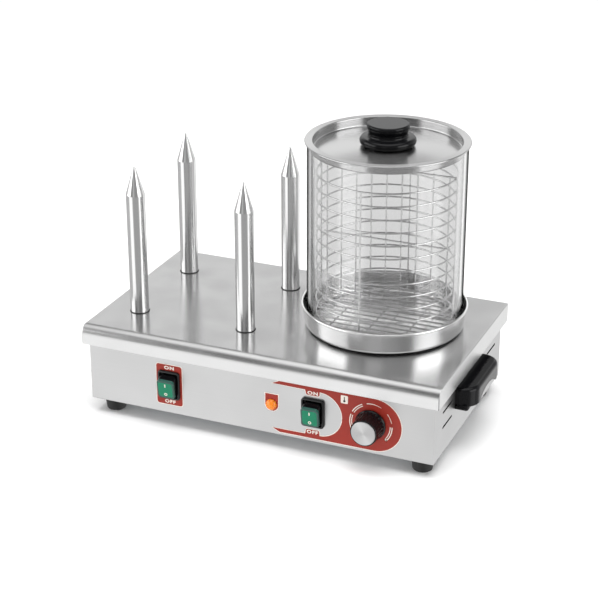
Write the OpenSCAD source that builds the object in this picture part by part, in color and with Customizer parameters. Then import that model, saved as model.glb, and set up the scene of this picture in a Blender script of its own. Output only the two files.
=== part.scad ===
// Table-top hot dog machine: four heated bun spikes stand beside a glass
// steamer with a wire basket, on a folded sheet-metal base.
// The origin is the middle of the base, level with the table. X runs along the
// front from left to right, Y runs to the back and Z is up. Sizes are in mm.

/* [Layout] */
// From the cover's left end to the left pair of spikes
spike_end = 46.5; // [38:0.5:60]
// Distance along the front between the two pairs of spikes
spike_pitch = 150.5; // [110:0.5:180]
// From the right pair of spikes to the pan's wall
spike_pan_gap = 49.8; // [30:0.1:70]
// From the pan's wall to the cover's right end
pan_end = 23.6; // [16:0.1:40]
// From the cover's front edge to the pan's wall
pan_front = 53.9; // [40:0.1:80]
// From the pan's wall to the cover's back edge
pan_back = 16.5; // [12:0.1:40]
// From the cover's front edge to the front row of spikes
spike_front = 72; // [50:1:90]
// From the rear row of spikes to the cover's back edge
spike_back = 64; // [45:1:90]

/* [Base] */
// Height of the cover's top above the table
cover_z = 124; // [118:1:150]
// Height of the cover's folded edge
lip_h = 25; // [20:1:30]
// Radius of the rolled front edge
nose_r = 12.5; // [10:0.5:14]
// How far the cover stands out past the body
overhang = 7; // [6:0.5:10]
// Thickness of the stainless sheet
sheet = 1.2; // [0.8:0.1:1.4]
// Height of the rubber feet
foot_h = 20; // [16:1:26]
// Distance of a foot's middle from the sides of the body
foot_inset = 24; // [22:1:40]
// Radius of a foot where it meets the body
foot_r = 17; // [14:0.5:20]

/* [Spikes] */
// Radius of a spike
spike_r = 12; // [10.5:0.5:14]
// Height of a spike's point above the cover
spike_h = 197; // [160:1:220]
// Length of a spike's tapered end
taper_l = 37; // [25:1:45]

/* [Steamer] */
// How far the outside of the water pan's wall stands clear of the glass
pan_clear = 5.8; // [5.5:0.1:9]
// Height of the pan's rim above the cover
pan_rim_h = 31; // [26:0.5:40]
// Thickness of the pan's sheet
pan_sheet = 1; // [0.8:0.1:1.2]
// Outer radius of the glass cylinder
glass_r = 99; // [90:0.5:110]
// Wall of the glass cylinder
glass_wall = 5; // [4:0.1:5.5]
// Height of the glass cylinder
glass_h = 240; // [225:1:280]
// How far the lid's rim stands out past the glass
lid_over = 3; // [2:0.1:5]
// Depth of the lid's plug below its rim
plug_h = 11.5; // [9:0.5:16]
// Radius of the lid knob's foot
lid_knob_r = 35; // [30:0.5:40]
// Height of the lid knob
lid_knob_h = 27; // [25:0.5:34]

/* [Basket] */
// From the inside of the glass to the middle of a hoop's wire
basket_clear = 7; // [6.5:0.5:14]
// Diameter of the basket's wire
wire_d = 2.5; // [2:0.1:2.8]
// Number of hoops above the floor ring
hoops = 11; // [8:1:12]
// Drop from the top edge of the glass to the top hoop
basket_drop = 37.1; // [32:0.1:60]
// Height of the floor ring above the pan's floor
floor_ring_h = 17; // [15:0.5:24]
// Spacing of the floor wires
floor_pitch = 12; // [10:0.5:16]
// Spacing of the divider's uprights
upright_pitch = 20; // [18:0.5:24]

/* [Controls] */
// How far the left switch is left of the middle between the pairs of spikes
switch_left_off = 1.75; // [0:0.25:20]
// How far the right switch is left of the steamer's middle
switch_right_off = 35.1; // [28:0.1:45]
// Height of the switches above the middle of the front
switch_rise = 1; // [0:0.5:6]
// Width of a switch's bezel
bezel_w = 30; // [28:0.5:32]
// Height of a switch's bezel
bezel_h = 38.5; // [36:0.5:42]
// Angle of a rocker on each side of its middle
rocker_tilt = 8.5; // [6:0.5:9]
// How far the lamp is left of the right switch
lamp_off = 55.7; // [40:0.1:75]
// Height of the lamp above the middle of the front
lamp_rise = 1.5; // [0:0.5:8]
// Radius of the lamp's lens
lamp_r = 7.2; // [6.5:0.1:9]
// From the thermostat to the right side of the pan's wall
dial_in = 64.3; // [56:0.1:74]
// Height of the thermostat above the middle of the front
dial_rise = 0.5; // [0:0.5:6]
// Radius of the thermostat knob's skirt
knob_r = 19.8; // [18:0.1:24]
// How far the knob stands out of the front
knob_reach = 27; // [24:0.5:32]

/* [Handles] */
// Length of a handle, front to back
handle_l = 114; // [100:1:130]
// How far a handle stands out of the side
handle_reach = 25; // [22:0.5:32]
// Drop from the cover's folded edge to a handle's top
handle_drop = 11; // [6:0.5:16]
// Height of a handle's outer wall at its ends
handle_h = 24; // [20:0.5:28]
// Thickness of a handle's walls
handle_wall = 4; // [3:0.1:5]

/* [Hidden] */
$fn = 96;

// gap at which a piece rests on its seat, and the gaps of fixings and shafts
seat = 0.3;
fixing_gap = 0.2;
run_gap = 0.05;
// overrun of every cut
cut = 1;

// places that follow from the layout
pan_r = glass_r + pan_clear;
lid_r = glass_r + lid_over;
hoop_r = glass_r - glass_wall - basket_clear;
cover_w = spike_end + spike_pitch + spike_pan_gap + 2 * pan_r + pan_end;
cover_d = pan_front + 2 * pan_r + pan_back;
steamer_x = cover_w / 2 - pan_end - pan_r;
steamer_y = cover_d / 2 - pan_back - pan_r;
spike_left_x = spike_end - cover_w / 2;
spike_right_x = spike_left_x + spike_pitch;
spike_front_y = spike_front - cover_d / 2;
spike_rear_y = cover_d / 2 - spike_back;
lip_z = cover_z - lip_h;
front_mid_z = (foot_h + lip_z) / 2;
switch_left_x = (spike_left_x + spike_right_x) / 2 - switch_left_off;
switch_right_x = steamer_x - switch_right_off;
switch_z = front_mid_z + switch_rise;
lamp_x = switch_right_x - lamp_off;
lamp_z = front_mid_z + lamp_rise;
dial_x = steamer_x + pan_r - dial_in;
dial_z = front_mid_z + dial_rise;
handle_z = lip_z - handle_drop;

// base
body_w = cover_w - 2 * overhang;
body_d = cover_d - 2 * overhang;
fold_r = 1.6;
body_fold_r = 5;
flange_w = 20;
under_z = cover_z - sheet;
body_top = under_z - seat;
inside_w = body_w - 2 * sheet;
inside_d = body_d - 2 * sheet;
plate_z = foot_h + sheet;
plate_top = plate_z + sheet;
plate_gap = 0.8;
front_y = -body_d / 2;
back_y = body_d / 2;
side_x = body_w / 2;

// vents in the sides, each row a pair of slots
vent_h = 3;
vent_l = 36;
vent_rise = 17.5;
vent_pitch = 20.5;
vent_front = 48;
vent_back = 41.5;
vent_high_z = front_mid_z + vent_rise;
vent_low_z = vent_high_z - vent_pitch;
vent_front_y = front_y + vent_front;
vent_rear_y = back_y - vent_back;
floor_vent_l = 60;
floor_vent_w = 5;
floor_vent_pitch = 14;
floor_vents = 5;

// studs under the cover and their nuts
stud_r = 2;
stud_l = 13;
stud_nut_af = 7;
stud_nut_h = 3.2;
stud_inset = 12;
stud_xs_share = [-0.82, 0, 0.82];
stud_x = body_w / 2;
stud_y = body_d / 2 - stud_inset;
floor_screw_r = 1.8;
floor_screw_head_r = 3.6;
floor_screw_l = 9;
floor_screw_head_h = 2.2;
floor_screw_xs_share = [-0.62, 0, 0.62];

// feet
foot_low_r = 14;
foot_round_r = 3;
foot_well_r = 6;
foot_well_h = 8;
foot_screw_r = 3;
foot_screw_head_r = 5.2;
foot_screw_head_h = 4;
foot_nut_af = 10;
foot_nut_h = 5;
foot_x = body_w / 2 - foot_inset;
foot_y = body_d / 2 - foot_inset;

// spikes
gasket_r = 13;
gasket_h = 1.6;
stub_r = 8;
stub_l = 22;
spike_nut_af = 24;
spike_nut_h = 8;
heater_r = 6;
heater_gap = 0.2;
heater_share = 0.74;
point_r = 1.6;
lead_r = 1.1;
lead_l = 14;
shoulder_z = cover_z + spike_h - taper_l;
spike_base_z = cover_z + gasket_h;
stub_end_z = under_z - stub_l;
heater_top_z = cover_z + spike_h * heater_share;

// water pan and what heats it
plate_inset = 29.8;
plate_r = pan_r - plate_inset;
plate_rise = 2.2;
plate_h = 8.2;
plate_hole_gap = 1.5;
plate_step_w = 5;
plate_step_r = plate_r - plate_step_w;
plate_step_h = 3;
plate_up_z = cover_z + plate_rise;
plate_low_z = plate_up_z - plate_h;
pan_low_z = plate_up_z + seat;
pan_floor_z = pan_low_z + pan_sheet;
pan_rim_z = cover_z + pan_rim_h;
pan_bend_r = 4.6;
bead_r = 1.5;
pan_stud_r = 4;
pan_stud_l = 32;
element_inset = 20;
element_ring_r = plate_r - element_inset;
element_r = 4.2;
element_tail_l = 16;
element_tail_r = 5;
element_gap_angle = 24;
bridge_w = 34;
bridge_t = 2;
bridge_out = 9;
bridge_reach = plate_r + bridge_out;
bridge_foot_l = 16;
spacer_r = 8;
spacer_h = 12;
bridge_z = plate_low_z - spacer_h - bridge_t;
pan_nut_af = 13;
pan_nut_h = 6.5;
bridge_stud_x = bridge_reach + bridge_foot_l / 2;

// thermostat and its bulb
therm_w = 36;
therm_d = 26;
therm_h = 44;
bush_r = 5;
bush_l = 5.5;
bush_nut_af = 14;
bush_nut_h = 2.5;
shaft_r = 3;
shaft_in = 14;
shaft_out = 20;
bulb_r = 3;
bulb_l = 40;
bulb_clear = 1.8;
tube_r = 0.9;
tube_bend_r = 9;
tube_x = dial_x - therm_w / 3;
bulb_z = plate_low_z - bulb_r - seat;
bulb_y = steamer_y - element_ring_r - element_r - bulb_clear - bulb_r;
bulb_end_x = tube_x - tube_bend_r - bulb_r;
tab_w = 6.3;
tab_t = 0.8;
tab_l = 8;

// glass, lid and lid knob
glass_z = pan_floor_z + seat;
glass_top = glass_z + glass_h;
glass_round_r = 1.8;
lid_sheet = 1;
lid_z = glass_top + seat;
lid_bead_r = 1.2;
plug_gap = 1;
plug_r = glass_r - glass_wall - plug_gap;
plug_bend_r = 2.4;
dome_h = 5.4;
dome_r = plug_r - 2 * plug_bend_r;
dome_low_z = lid_z + lid_sheet - plug_h;
dome_ball_r = (dome_r * dome_r + dome_h * dome_h) / (2 * dome_h);
lid_middle_z = dome_low_z + dome_h;
lid_knob_z = lid_middle_z + seat;
knob_foot_h = 12;
knob_top_r = 26.5;
knob_waist_r = 23.5;
knob_groove_r = 8;
knob_groove_share = 0.62;
knob_edge_r = 1.6;
lid_screw_r = 2.5;
lid_screw_head_r = 5;
lid_screw_head_h = 3;
lid_screw_l = 18;
lid_hole_r = lid_screw_r + fixing_gap;

// basket
wire_r = wire_d / 2;
weld = 0.1;
rib_r = hoop_r + wire_d - weld;
floor_ring_z = pan_floor_z + floor_ring_h;
first_hoop_h = 19.2;
first_hoop_z = floor_ring_z + first_hoop_h;
top_hoop_z = glass_top - basket_drop;
hoop_pitch = (top_hoop_z - first_hoop_z) / (hoops - 1);
leg_z = pan_floor_z + seat;
wire_seat = 0.15;
floor_wire_z = floor_ring_z - wire_d - wire_seat;
cross_wire_z = floor_wire_z - wire_d + weld;
cross_wires_share = [-0.55, 0, 0.55];
floor_reach_share = 0.86;
divider_set = 0.4;
divider_y = -wire_d - divider_set;
upright_y = divider_y + wire_d - weld;
divider_top_z = top_hoop_z + wire_d + wire_seat;
divider_low_z = floor_ring_z + wire_r;
divider_mid_z = (divider_top_z + divider_low_z) / 2;
divider_low_x = hoop_r - wire_r - wire_d;
hook_x = hoop_r + wire_d + seat;
hook_l = 11;
hook_bend_r = wire_d;
uprights_half = floor(divider_low_x / upright_pitch);
floor_wires_half = floor(floor_reach_share * hoop_r / floor_pitch);

// switches: outward distances are measured from the front sheet
bezel_t = 3.5;
bezel_round_r = 4;
rocker_w = 23.6;
rocker_face_h = 25;
rocker_base_h = 31.2;
rocker_round_r = 4.5;
rocker_gap = 0.6;
pivot_depth = 3.2;
pivot_r = 1.2;
pivot_l = 1.3;
rocker_reach = 12;
rocker_skirt = 4.6;
lens_t = 3.2;
root_w = 20.6;
root_h = 24;
root_depth = 2.4;
switch_body_w = 26.8;
switch_body_h = 34.8;
switch_body_l = 26;
ledge_depth = 1.2;
well_depth = 9.5;
well_w = root_w + rocker_gap;

// lamp
lamp_rim_h = 2;
lamp_dome_h = 4.4;
lamp_body_r = 5.6;
lamp_body_l = 22;
lamp_nut_r = 9;
lamp_nut_h = 4;

// thermostat knob
knob_back = 1.8;
knob_flange_h = 2.6;
knob_body_r = 18.4;
knob_front_r = 17.2;
knob_hollow_r = 14.6;
knob_hollow_h = 7;
flutes = 24;
flute_r = 1.1;
cap_r = 15.5;
cap_h = 1.4;
cap_sink = 0.8;

// handles
handle_corner_r = 19;
handle_edge_r = 3;
handle_end_l = 15;
handle_arch = 6.5;
handle_foot_w = 16;
handle_foot_t = 7;
handle_foot_drop = 36;
handle_foot_z = handle_z - handle_foot_drop;
handle_y = 1;
handle_top_t = 4.5;
handle_screw_r = 2;
handle_screw_l = 10;
handle_screw_head_r = 3.9;
handle_screw_head_h = 2.6;
handle_screw_drop = 12;
handle_screw_inset = 8.5;

// cord gland in the back
gland_inset = 83;
gland_rise = 32;
gland_x = gland_inset - side_x;
gland_z = foot_h + gland_rise;
gland_r = 8;
gland_bore_r = 5.2;
cord_hole_r = 4.5;
gland_hex_af = 20;
gland_hex_h = 5;
gland_sleeve_out = 16;
gland_sleeve_in = 12;
gland_nut_r = 10.6;
gland_reach = 27;
gland_throat_l = 9;
gland_locknut_h = 5;

// terminal block
terminal_w = 36;
terminal_d = 22;
terminal_h = 18;
terminal_inset = 58;
terminal_x = gland_x;
terminal_y = back_y - terminal_inset;
terminal_screw_r = 2.4;
terminal_ways = 3;
terminal_pitch = 11;

// Outline with its two top corners and its bottom corners rounded, from z0 to z1
module fold_outline(w, z0, z1, r_a, r_b, r_low) {
    polygon([[-w / 2 + r_low, z0], [w / 2 - r_low, z0], [w / 2, z0 + r_low],
        [w / 2, z1 - r_b], [w / 2 - r_b, z1], [-w / 2 + r_a, z1],
        [-w / 2, z1 - r_a], [-w / 2, z0 + r_low]]);
    translate([-w / 2 + r_a, z1 - r_a]) circle(r = r_a);
    translate([w / 2 - r_b, z1 - r_b]) circle(r = r_b);
    if (r_low > 0)
        for (s = [-1, 1]) translate([s * (w / 2 - r_low), z0 + r_low]) circle(r = r_low);
}

// Box whose upper edges are folded: front radius r_front, the others r_fold
module folded_box(w, d, z0, z1, r_front, r_fold, r_low) {
    intersection() {
        rotate([90, 0, 90]) linear_extrude(height = w + 2 * cut, center = true)
            fold_outline(d, z0, z1, r_front, r_fold, r_low);
        rotate([90, 0, 0]) linear_extrude(height = d + 2 * cut, center = true)
            fold_outline(w, z0, z1, r_fold, r_fold, r_low);
    }
}

// Plate outline with four rounded corners
module rounded_plate(w, h, r) {
    polygon([[-w / 2 + r, -h / 2], [w / 2 - r, -h / 2], [w / 2, -h / 2 + r],
        [w / 2, h / 2 - r], [w / 2 - r, h / 2], [-w / 2 + r, h / 2],
        [-w / 2, h / 2 - r], [-w / 2, -h / 2 + r]]);
    for (x = [-1, 1], y = [-1, 1])
        translate([x * (w / 2 - r), y * (h / 2 - r)]) circle(r = r);
}

// Slot outline with round ends, long in x
module slot(l, w) {
    square([l - w, w], center = true);
    for (s = [-1, 1]) translate([s * (l - w) / 2, 0]) circle(r = w / 2);
}

// Stands a plate outline on the front: x stays, y becomes height, and the
// thickness runs outwards from the distance given
module on_front(from, thickness) {
    translate([0, front_y - from, 0]) rotate([90, 0, 0])
        linear_extrude(height = thickness) children();
}

// Round rod along the outward direction of the front
module front_rod(r, from, l) {
    translate([0, front_y - from, 0]) rotate([90, 0, 0]) cylinder(r = r, h = l);
}

module hex_ring(af, bore, h) {
    difference() {
        cylinder(r = af / 2 / cos(30), h = h, $fn = 6);
        translate([0, 0, -cut]) cylinder(r = bore, h = h + 2 * cut);
    }
}

module at_spikes() {
    for (x = [spike_left_x, spike_right_x], y = [spike_front_y, spike_rear_y])
        translate([x, y, 0]) children();
}

module at_feet() {
    for (x = [-1, 1], y = [-1, 1]) translate([x * foot_x, y * foot_y, 0]) children();
}

module at_studs() {
    for (share = stud_xs_share, y = [-1, 1])
        translate([share * stud_x, y * stud_y, 0]) children();
}

module at_floor_screws() {
    for (share = floor_screw_xs_share, y = [-1, 1])
        translate([share * stud_x, y * stud_y, 0]) children();
}

module at_handle_screws() {
    for (x = [-1, 1], y = [-1, 1])
        translate([x * side_x, handle_y + y * (handle_l / 2 - handle_screw_inset),
            handle_z - handle_screw_drop]) rotate([0, x * 90, 0]) children();
}

// The folded cover with its weld studs
module top_cover() {
    color("silver") {
        difference() {
            folded_box(cover_w, cover_d, lip_z, cover_z, nose_r, fold_r, 0);
            folded_box(cover_w - 2 * sheet, cover_d - 2 * sheet, lip_z - cut,
                under_z, nose_r - sheet, fold_r - sheet, 0);
            at_spikes() translate([0, 0, under_z - cut])
                cylinder(r = stub_r + fixing_gap, h = sheet + 2 * cut);
            translate([steamer_x, steamer_y, under_z - cut])
                cylinder(r = plate_r + plate_hole_gap, h = sheet + 2 * cut);
        }
        at_studs() translate([0, 0, under_z - stud_l]) cylinder(r = stud_r, h = stud_l + sheet / 2);
        for (x = [-1, 1]) translate([steamer_x + x * bridge_stud_x, steamer_y, under_z - stud_l])
            cylinder(r = stud_r, h = stud_l + sheet / 2);
    }
}

// One wrap of sheet with flanges folded in at the top and the bottom
module body_shell() {
    color("lightgray") difference() {
        folded_box(body_w, body_d, foot_h, body_top, body_fold_r, body_fold_r, fold_r);
        folded_box(inside_w, inside_d, foot_h + sheet, body_top - sheet,
            body_fold_r - sheet, body_fold_r - sheet, fold_r - sheet);
        translate([-body_w / 2 + flange_w, -body_d / 2 + flange_w, foot_h - cut])
            cube([body_w - 2 * flange_w, body_d - 2 * flange_w, body_top - foot_h + 2 * cut]);
        at_studs() translate([0, 0, body_top - sheet - cut])
            cylinder(r = stud_r + fixing_gap, h = sheet + 2 * cut);
        at_floor_screws() translate([0, 0, foot_h - cut])
            cylinder(r = floor_screw_r + fixing_gap, h = sheet + 2 * cut);
        at_feet() translate([0, 0, foot_h - cut])
            cylinder(r = foot_screw_r + fixing_gap, h = sheet + 2 * cut);
        for (y = [vent_front_y, vent_rear_y], z = [vent_high_z, vent_low_z])
            translate([0, y, z]) rotate([90, 0, 90])
                linear_extrude(height = body_w + 2 * cut, center = true) slot(vent_l, vent_h);
        at_handle_screws() translate([0, 0, -sheet - cut])
            cylinder(r = handle_screw_r + fixing_gap, h = sheet + 2 * cut);
        for (x = [switch_left_x, switch_right_x]) translate([x, 0, switch_z])
            on_front(-sheet - cut, sheet + 2 * cut)
                square([switch_body_w + 2 * fixing_gap, switch_body_h + 2 * fixing_gap],
                    center = true);
        translate([lamp_x, 0, lamp_z]) front_rod(lamp_body_r + fixing_gap, -sheet - cut, sheet + 2 * cut);
        translate([dial_x, 0, dial_z]) front_rod(bush_r + fixing_gap, -sheet - cut, sheet + 2 * cut);
        translate([gland_x, back_y + cut, gland_z]) rotate([90, 0, 0])
            cylinder(r = gland_r + fixing_gap, h = sheet + 2 * cut);
    }
}

// Removable floor with its cooling slots
module base_plate() {
    color("gray") difference() {
        translate([0, 0, plate_z]) linear_extrude(height = sheet)
            square([inside_w - 2 * plate_gap, inside_d - 2 * plate_gap], center = true);
        at_floor_screws() translate([0, 0, plate_z - cut])
            cylinder(r = floor_screw_r + fixing_gap, h = sheet + 2 * cut);
        at_feet() translate([0, 0, plate_z - cut])
            cylinder(r = foot_screw_r + fixing_gap, h = sheet + 2 * cut);
        for (x = [spike_left_x + spike_right_x, 2 * steamer_x] / 2, i = [0 : floor_vents - 1])
            translate([x, (i - (floor_vents - 1) / 2) * floor_vent_pitch, plate_z - cut])
                linear_extrude(height = sheet + 2 * cut) slot(floor_vent_l, floor_vent_w);
    }
}

// Tapered rubber foot with a well for its screw
module foot() {
    color("#222222") difference() {
        rotate_extrude() {
            polygon([[0, 0], [foot_low_r - foot_round_r, 0], [foot_low_r, foot_round_r],
                [foot_r, foot_h], [0, foot_h]]);
            translate([foot_low_r - foot_round_r, foot_round_r]) circle(r = foot_round_r);
        }
        translate([0, 0, -cut]) cylinder(r = foot_well_r, h = foot_well_h + cut);
        cylinder(r = foot_screw_r + fixing_gap, h = foot_h + cut);
    }
}

module foot_front_left() { translate([-foot_x, -foot_y, 0]) foot(); }
module foot_front_right() { translate([foot_x, -foot_y, 0]) foot(); }
module foot_rear_left() { translate([-foot_x, foot_y, 0]) foot(); }
module foot_rear_right() { translate([foot_x, foot_y, 0]) foot(); }

module foot_screws() {
    color("silver") at_feet() {
        translate([0, 0, foot_well_h - foot_screw_head_h])
            cylinder(r = foot_screw_head_r, h = foot_screw_head_h);
        translate([0, 0, foot_well_h - foot_screw_head_h])
            cylinder(r = foot_screw_r,
                h = plate_top + foot_nut_h + foot_screw_head_h - foot_well_h + foot_screw_r);
    }
}

module foot_nuts() {
    color("silver") at_feet() translate([0, 0, plate_top])
        hex_ring(foot_nut_af, foot_screw_r + run_gap, foot_nut_h);
}

module cover_nuts() {
    color("silver") at_studs() translate([0, 0, body_top - sheet - stud_nut_h])
        hex_ring(stud_nut_af, stud_r + run_gap, stud_nut_h);
}

module floor_screws() {
    color("silver") at_floor_screws() {
        translate([0, 0, foot_h - floor_screw_head_h])
            cylinder(r = floor_screw_head_r, h = floor_screw_head_h);
        translate([0, 0, foot_h - floor_screw_head_h])
            cylinder(r = floor_screw_r, h = floor_screw_l + floor_screw_head_h);
    }
}

// Half-angle of the taper whose sides touch the rounded point
function taper_angle() =
    let (rise = taper_l - point_r, reach = sqrt(spike_r * spike_r + rise * rise))
    atan(spike_r / rise) - asin(point_r / reach);

// Hollow rod with a tapered point, and a threaded stub that passes the cover
module spike(x, y) {
    point_z = cover_z + spike_h - point_r;
    a = taper_angle();
    color("silver") translate([x, y, 0]) difference() {
        rotate_extrude() intersection() {
            union() {
                polygon([[0, stub_end_z], [stub_r, stub_end_z], [stub_r, spike_base_z],
                    [spike_r, spike_base_z], [spike_r, shoulder_z],
                    [point_r * cos(a), point_z + point_r * sin(a)], [0, point_z]]);
                translate([0, point_z]) circle(r = point_r);
            }
            translate([0, stub_end_z]) square([2 * spike_r, cover_z + spike_h - stub_end_z]);
        }
        translate([0, 0, stub_end_z - cut])
            cylinder(r = heater_r + heater_gap, h = heater_top_z - stub_end_z + cut + heater_gap);
    }
}

module spike_front_left() { spike(spike_left_x, spike_front_y); }
module spike_rear_left() { spike(spike_left_x, spike_rear_y); }
module spike_front_right() { spike(spike_right_x, spike_front_y); }
module spike_rear_right() { spike(spike_right_x, spike_rear_y); }

module spike_gaskets() {
    color("#1a1a1a") at_spikes() translate([0, 0, cover_z]) difference() {
        cylinder(r = gasket_r, h = gasket_h);
        translate([0, 0, -cut]) cylinder(r = stub_r + fixing_gap, h = gasket_h + 2 * cut);
    }
}

module spike_nuts() {
    color("silver") at_spikes() translate([0, 0, under_z - spike_nut_h])
        hex_ring(spike_nut_af, stub_r + run_gap, spike_nut_h);
}

// Cartridge heaters with their two leads
module spike_heaters() {
    color("dimgray") at_spikes() {
        translate([0, 0, stub_end_z]) cylinder(r = heater_r, h = heater_top_z - stub_end_z);
        for (s = [-1, 1]) translate([s * heater_r / 2, 0, stub_end_z - lead_l])
            cylinder(r = lead_r, h = lead_l + lead_r);
    }
}

// Spun pan: flat floor, rounded corner, upright wall and rolled bead
module water_pan() {
    color("silver") translate([steamer_x, steamer_y, 0]) {
        rotate_extrude() {
            translate([0, pan_low_z]) square([pan_r - pan_bend_r, pan_sheet]);
            translate([pan_r - pan_bend_r, pan_low_z + pan_bend_r]) intersection() {
                difference() {
                    circle(r = pan_bend_r);
                    circle(r = pan_bend_r - pan_sheet);
                }
                translate([0, -pan_bend_r]) square(pan_bend_r);
            }
            translate([pan_r - pan_sheet, pan_low_z + pan_bend_r])
                square([pan_sheet, pan_rim_z - pan_low_z - pan_bend_r - bead_r]);
            translate([pan_r - pan_sheet / 3, pan_rim_z - bead_r]) circle(r = bead_r);
        }
        translate([0, 0, pan_low_z - pan_stud_l]) cylinder(r = pan_stud_r, h = pan_stud_l + pan_sheet / 2);
    }
}

// Cast disc that fills the hole in the cover and carries the pan
module heating_plate() {
    color("darkgray") translate([steamer_x, steamer_y, 0]) difference() {
        union() {
            translate([0, 0, plate_low_z]) cylinder(r = plate_step_r, h = plate_step_h);
            translate([0, 0, plate_low_z + plate_step_h]) cylinder(r = plate_r, h = plate_h - plate_step_h);
        }
        translate([0, 0, plate_low_z - cut]) cylinder(r = pan_stud_r + fixing_gap, h = plate_h + 2 * cut);
    }
}

// Ring element brazed under the plate, its ends turned down in cold sleeves
module heating_element() {
    color("#555555") translate([steamer_x, steamer_y, plate_low_z - element_r - seat]) {
        rotate([0, 0, element_gap_angle / 2 - 90]) rotate_extrude(angle = 360 - element_gap_angle)
            translate([element_ring_r, 0]) circle(r = element_r);
        for (s = [-1, 1]) rotate([0, 0, s * element_gap_angle / 2 - 90])
            translate([element_ring_r, 0, -element_tail_l])
                cylinder(r = element_tail_r, h = element_tail_l + element_r / 2);
    }
}

module plate_spacer() {
    color("silver") translate([steamer_x, steamer_y, bridge_z + bridge_t]) difference() {
        cylinder(r = spacer_r, h = spacer_h);
        translate([0, 0, -cut]) cylinder(r = pan_stud_r + fixing_gap, h = spacer_h + 2 * cut);
    }
}

// Folded strap that pulls the plate up against the pan
module heater_bridge() {
    rise = under_z - seat - bridge_z;
    color("lightgray") translate([steamer_x, steamer_y, bridge_z]) difference() {
        union() {
            translate([-bridge_reach, -bridge_w / 2, 0]) cube([2 * bridge_reach, bridge_w, bridge_t]);
            for (s = [-1, 1]) {
                translate([s * (bridge_reach - bridge_t / 2) - bridge_t / 2, -bridge_w / 2, 0])
                    cube([bridge_t, bridge_w, rise]);
                translate([s * (bridge_reach + bridge_foot_l / 2) - bridge_foot_l / 2,
                    -bridge_w / 2, rise - bridge_t]) cube([bridge_foot_l, bridge_w, bridge_t]);
            }
        }
        translate([0, 0, -cut]) cylinder(r = pan_stud_r + fixing_gap, h = bridge_t + 2 * cut);
        for (s = [-1, 1]) translate([s * bridge_stud_x, 0, rise - bridge_t - cut])
            cylinder(r = stud_r + fixing_gap, h = bridge_t + 2 * cut);
    }
}

module heater_nuts() {
    color("silver") translate([steamer_x, steamer_y, 0]) {
        translate([0, 0, bridge_z - pan_nut_h]) hex_ring(pan_nut_af, pan_stud_r + run_gap, pan_nut_h);
        for (s = [-1, 1]) translate([s * bridge_stud_x, 0, under_z - seat - bridge_t - stud_nut_h])
            hex_ring(stud_nut_af, stud_r + run_gap, stud_nut_h);
    }
}

// Control body behind the front, with its bushing and spade terminals
module thermostat_body() {
    color("dimgray") translate([dial_x, 0, dial_z]) difference() {
        union() {
            on_front(-sheet - therm_d, therm_d) square([therm_w, therm_h], center = true);
            front_rod(bush_r, -sheet - bush_r, sheet + bush_r + bush_l);
            for (s = [-1, 1]) translate([s * therm_w / 4, 0, 0])
                on_front(-sheet - therm_d - tab_l, tab_l + tab_t) square([tab_w, tab_t], center = true);
        }
        front_rod(shaft_r + run_gap, -shaft_in - shaft_r, shaft_in + shaft_r + bush_l + cut);
    }
}

module thermostat_nut() {
    color("silver") translate([dial_x, front_y, dial_z]) rotate([90, 0, 0])
        hex_ring(bush_nut_af, bush_r + run_gap, bush_nut_h);
}

// Bulb clipped under the plate, outside the ring, and its capillary down to the control
module thermostat_bulb() {
    bend_y = front_y + sheet + therm_d / 2 + tube_bend_r;
    color("peru") {
        translate([bulb_end_x - bulb_l, bulb_y, bulb_z]) rotate([0, 90, 0]) cylinder(r = bulb_r, h = bulb_l);
        translate([bulb_end_x - bulb_r, bulb_y, bulb_z]) rotate([0, 90, 0])
            cylinder(r = tube_r, h = tube_x - tube_bend_r - bulb_end_x + bulb_r);
        translate([tube_x - tube_bend_r, bulb_y - tube_bend_r, bulb_z]) rotate_extrude(angle = 90)
            translate([tube_bend_r, 0]) circle(r = tube_r);
        translate([tube_x, bend_y, bulb_z]) rotate([-90, 0, 0])
            cylinder(r = tube_r, h = bulb_y - tube_bend_r - bend_y);
        translate([tube_x, bend_y, bulb_z - tube_bend_r]) rotate([90, 0, -90]) rotate_extrude(angle = 90)
            translate([tube_bend_r, 0]) circle(r = tube_r);
        translate([tube_x, bend_y - tube_bend_r, dial_z + therm_h / 2])
            cylinder(r = tube_r, h = bulb_z - tube_bend_r - dial_z - therm_h / 2);
    }
}

// Bezel with a well for the rocker, and the snap-in body behind the front
module switch_housing() {
    color("#151515") difference() {
        union() {
            on_front(0, bezel_t) rounded_plate(bezel_w, bezel_h, bezel_round_r);
            on_front(-switch_body_l, switch_body_l) square([switch_body_w, switch_body_h], center = true);
        }
        on_front(-ledge_depth, bezel_t + ledge_depth + cut)
            square([rocker_w + 2 * rocker_gap, rocker_base_h + 2 * rocker_gap], center = true);
        on_front(-well_depth, well_depth)
            square([well_w, rocker_base_h + 2 * rocker_gap], center = true);
        translate([-root_w / 2 - pivot_l - run_gap, front_y + pivot_depth, 0]) rotate([0, 90, 0])
            cylinder(r = pivot_r + run_gap, h = root_w + 2 * pivot_l + 2 * run_gap);
    }
}

module switch_housing_left() { translate([switch_left_x, 0, switch_z]) switch_housing(); }
module switch_housing_right() { translate([switch_right_x, 0, switch_z]) switch_housing(); }

module switch_terminals() {
    color("goldenrod") for (x = [switch_left_x, switch_right_x], s = [-1, 1], h = [-1, 1])
        translate([x + s * switch_body_w / 4, 0, switch_z + h * switch_body_h / 4])
            on_front(-switch_body_l - tab_l, tab_l) square([tab_w, tab_t], center = true);
}

// Rocker outline in the plane of its swing: y is inwards and the second value is height
module rocker_side(from, to) {
    half_a = rocker_half(from);
    half_b = rocker_half(to);
    polygon([[-from, -half_a], [-from, half_a], [-to, half_b], [-to, -half_b]]);
}

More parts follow.
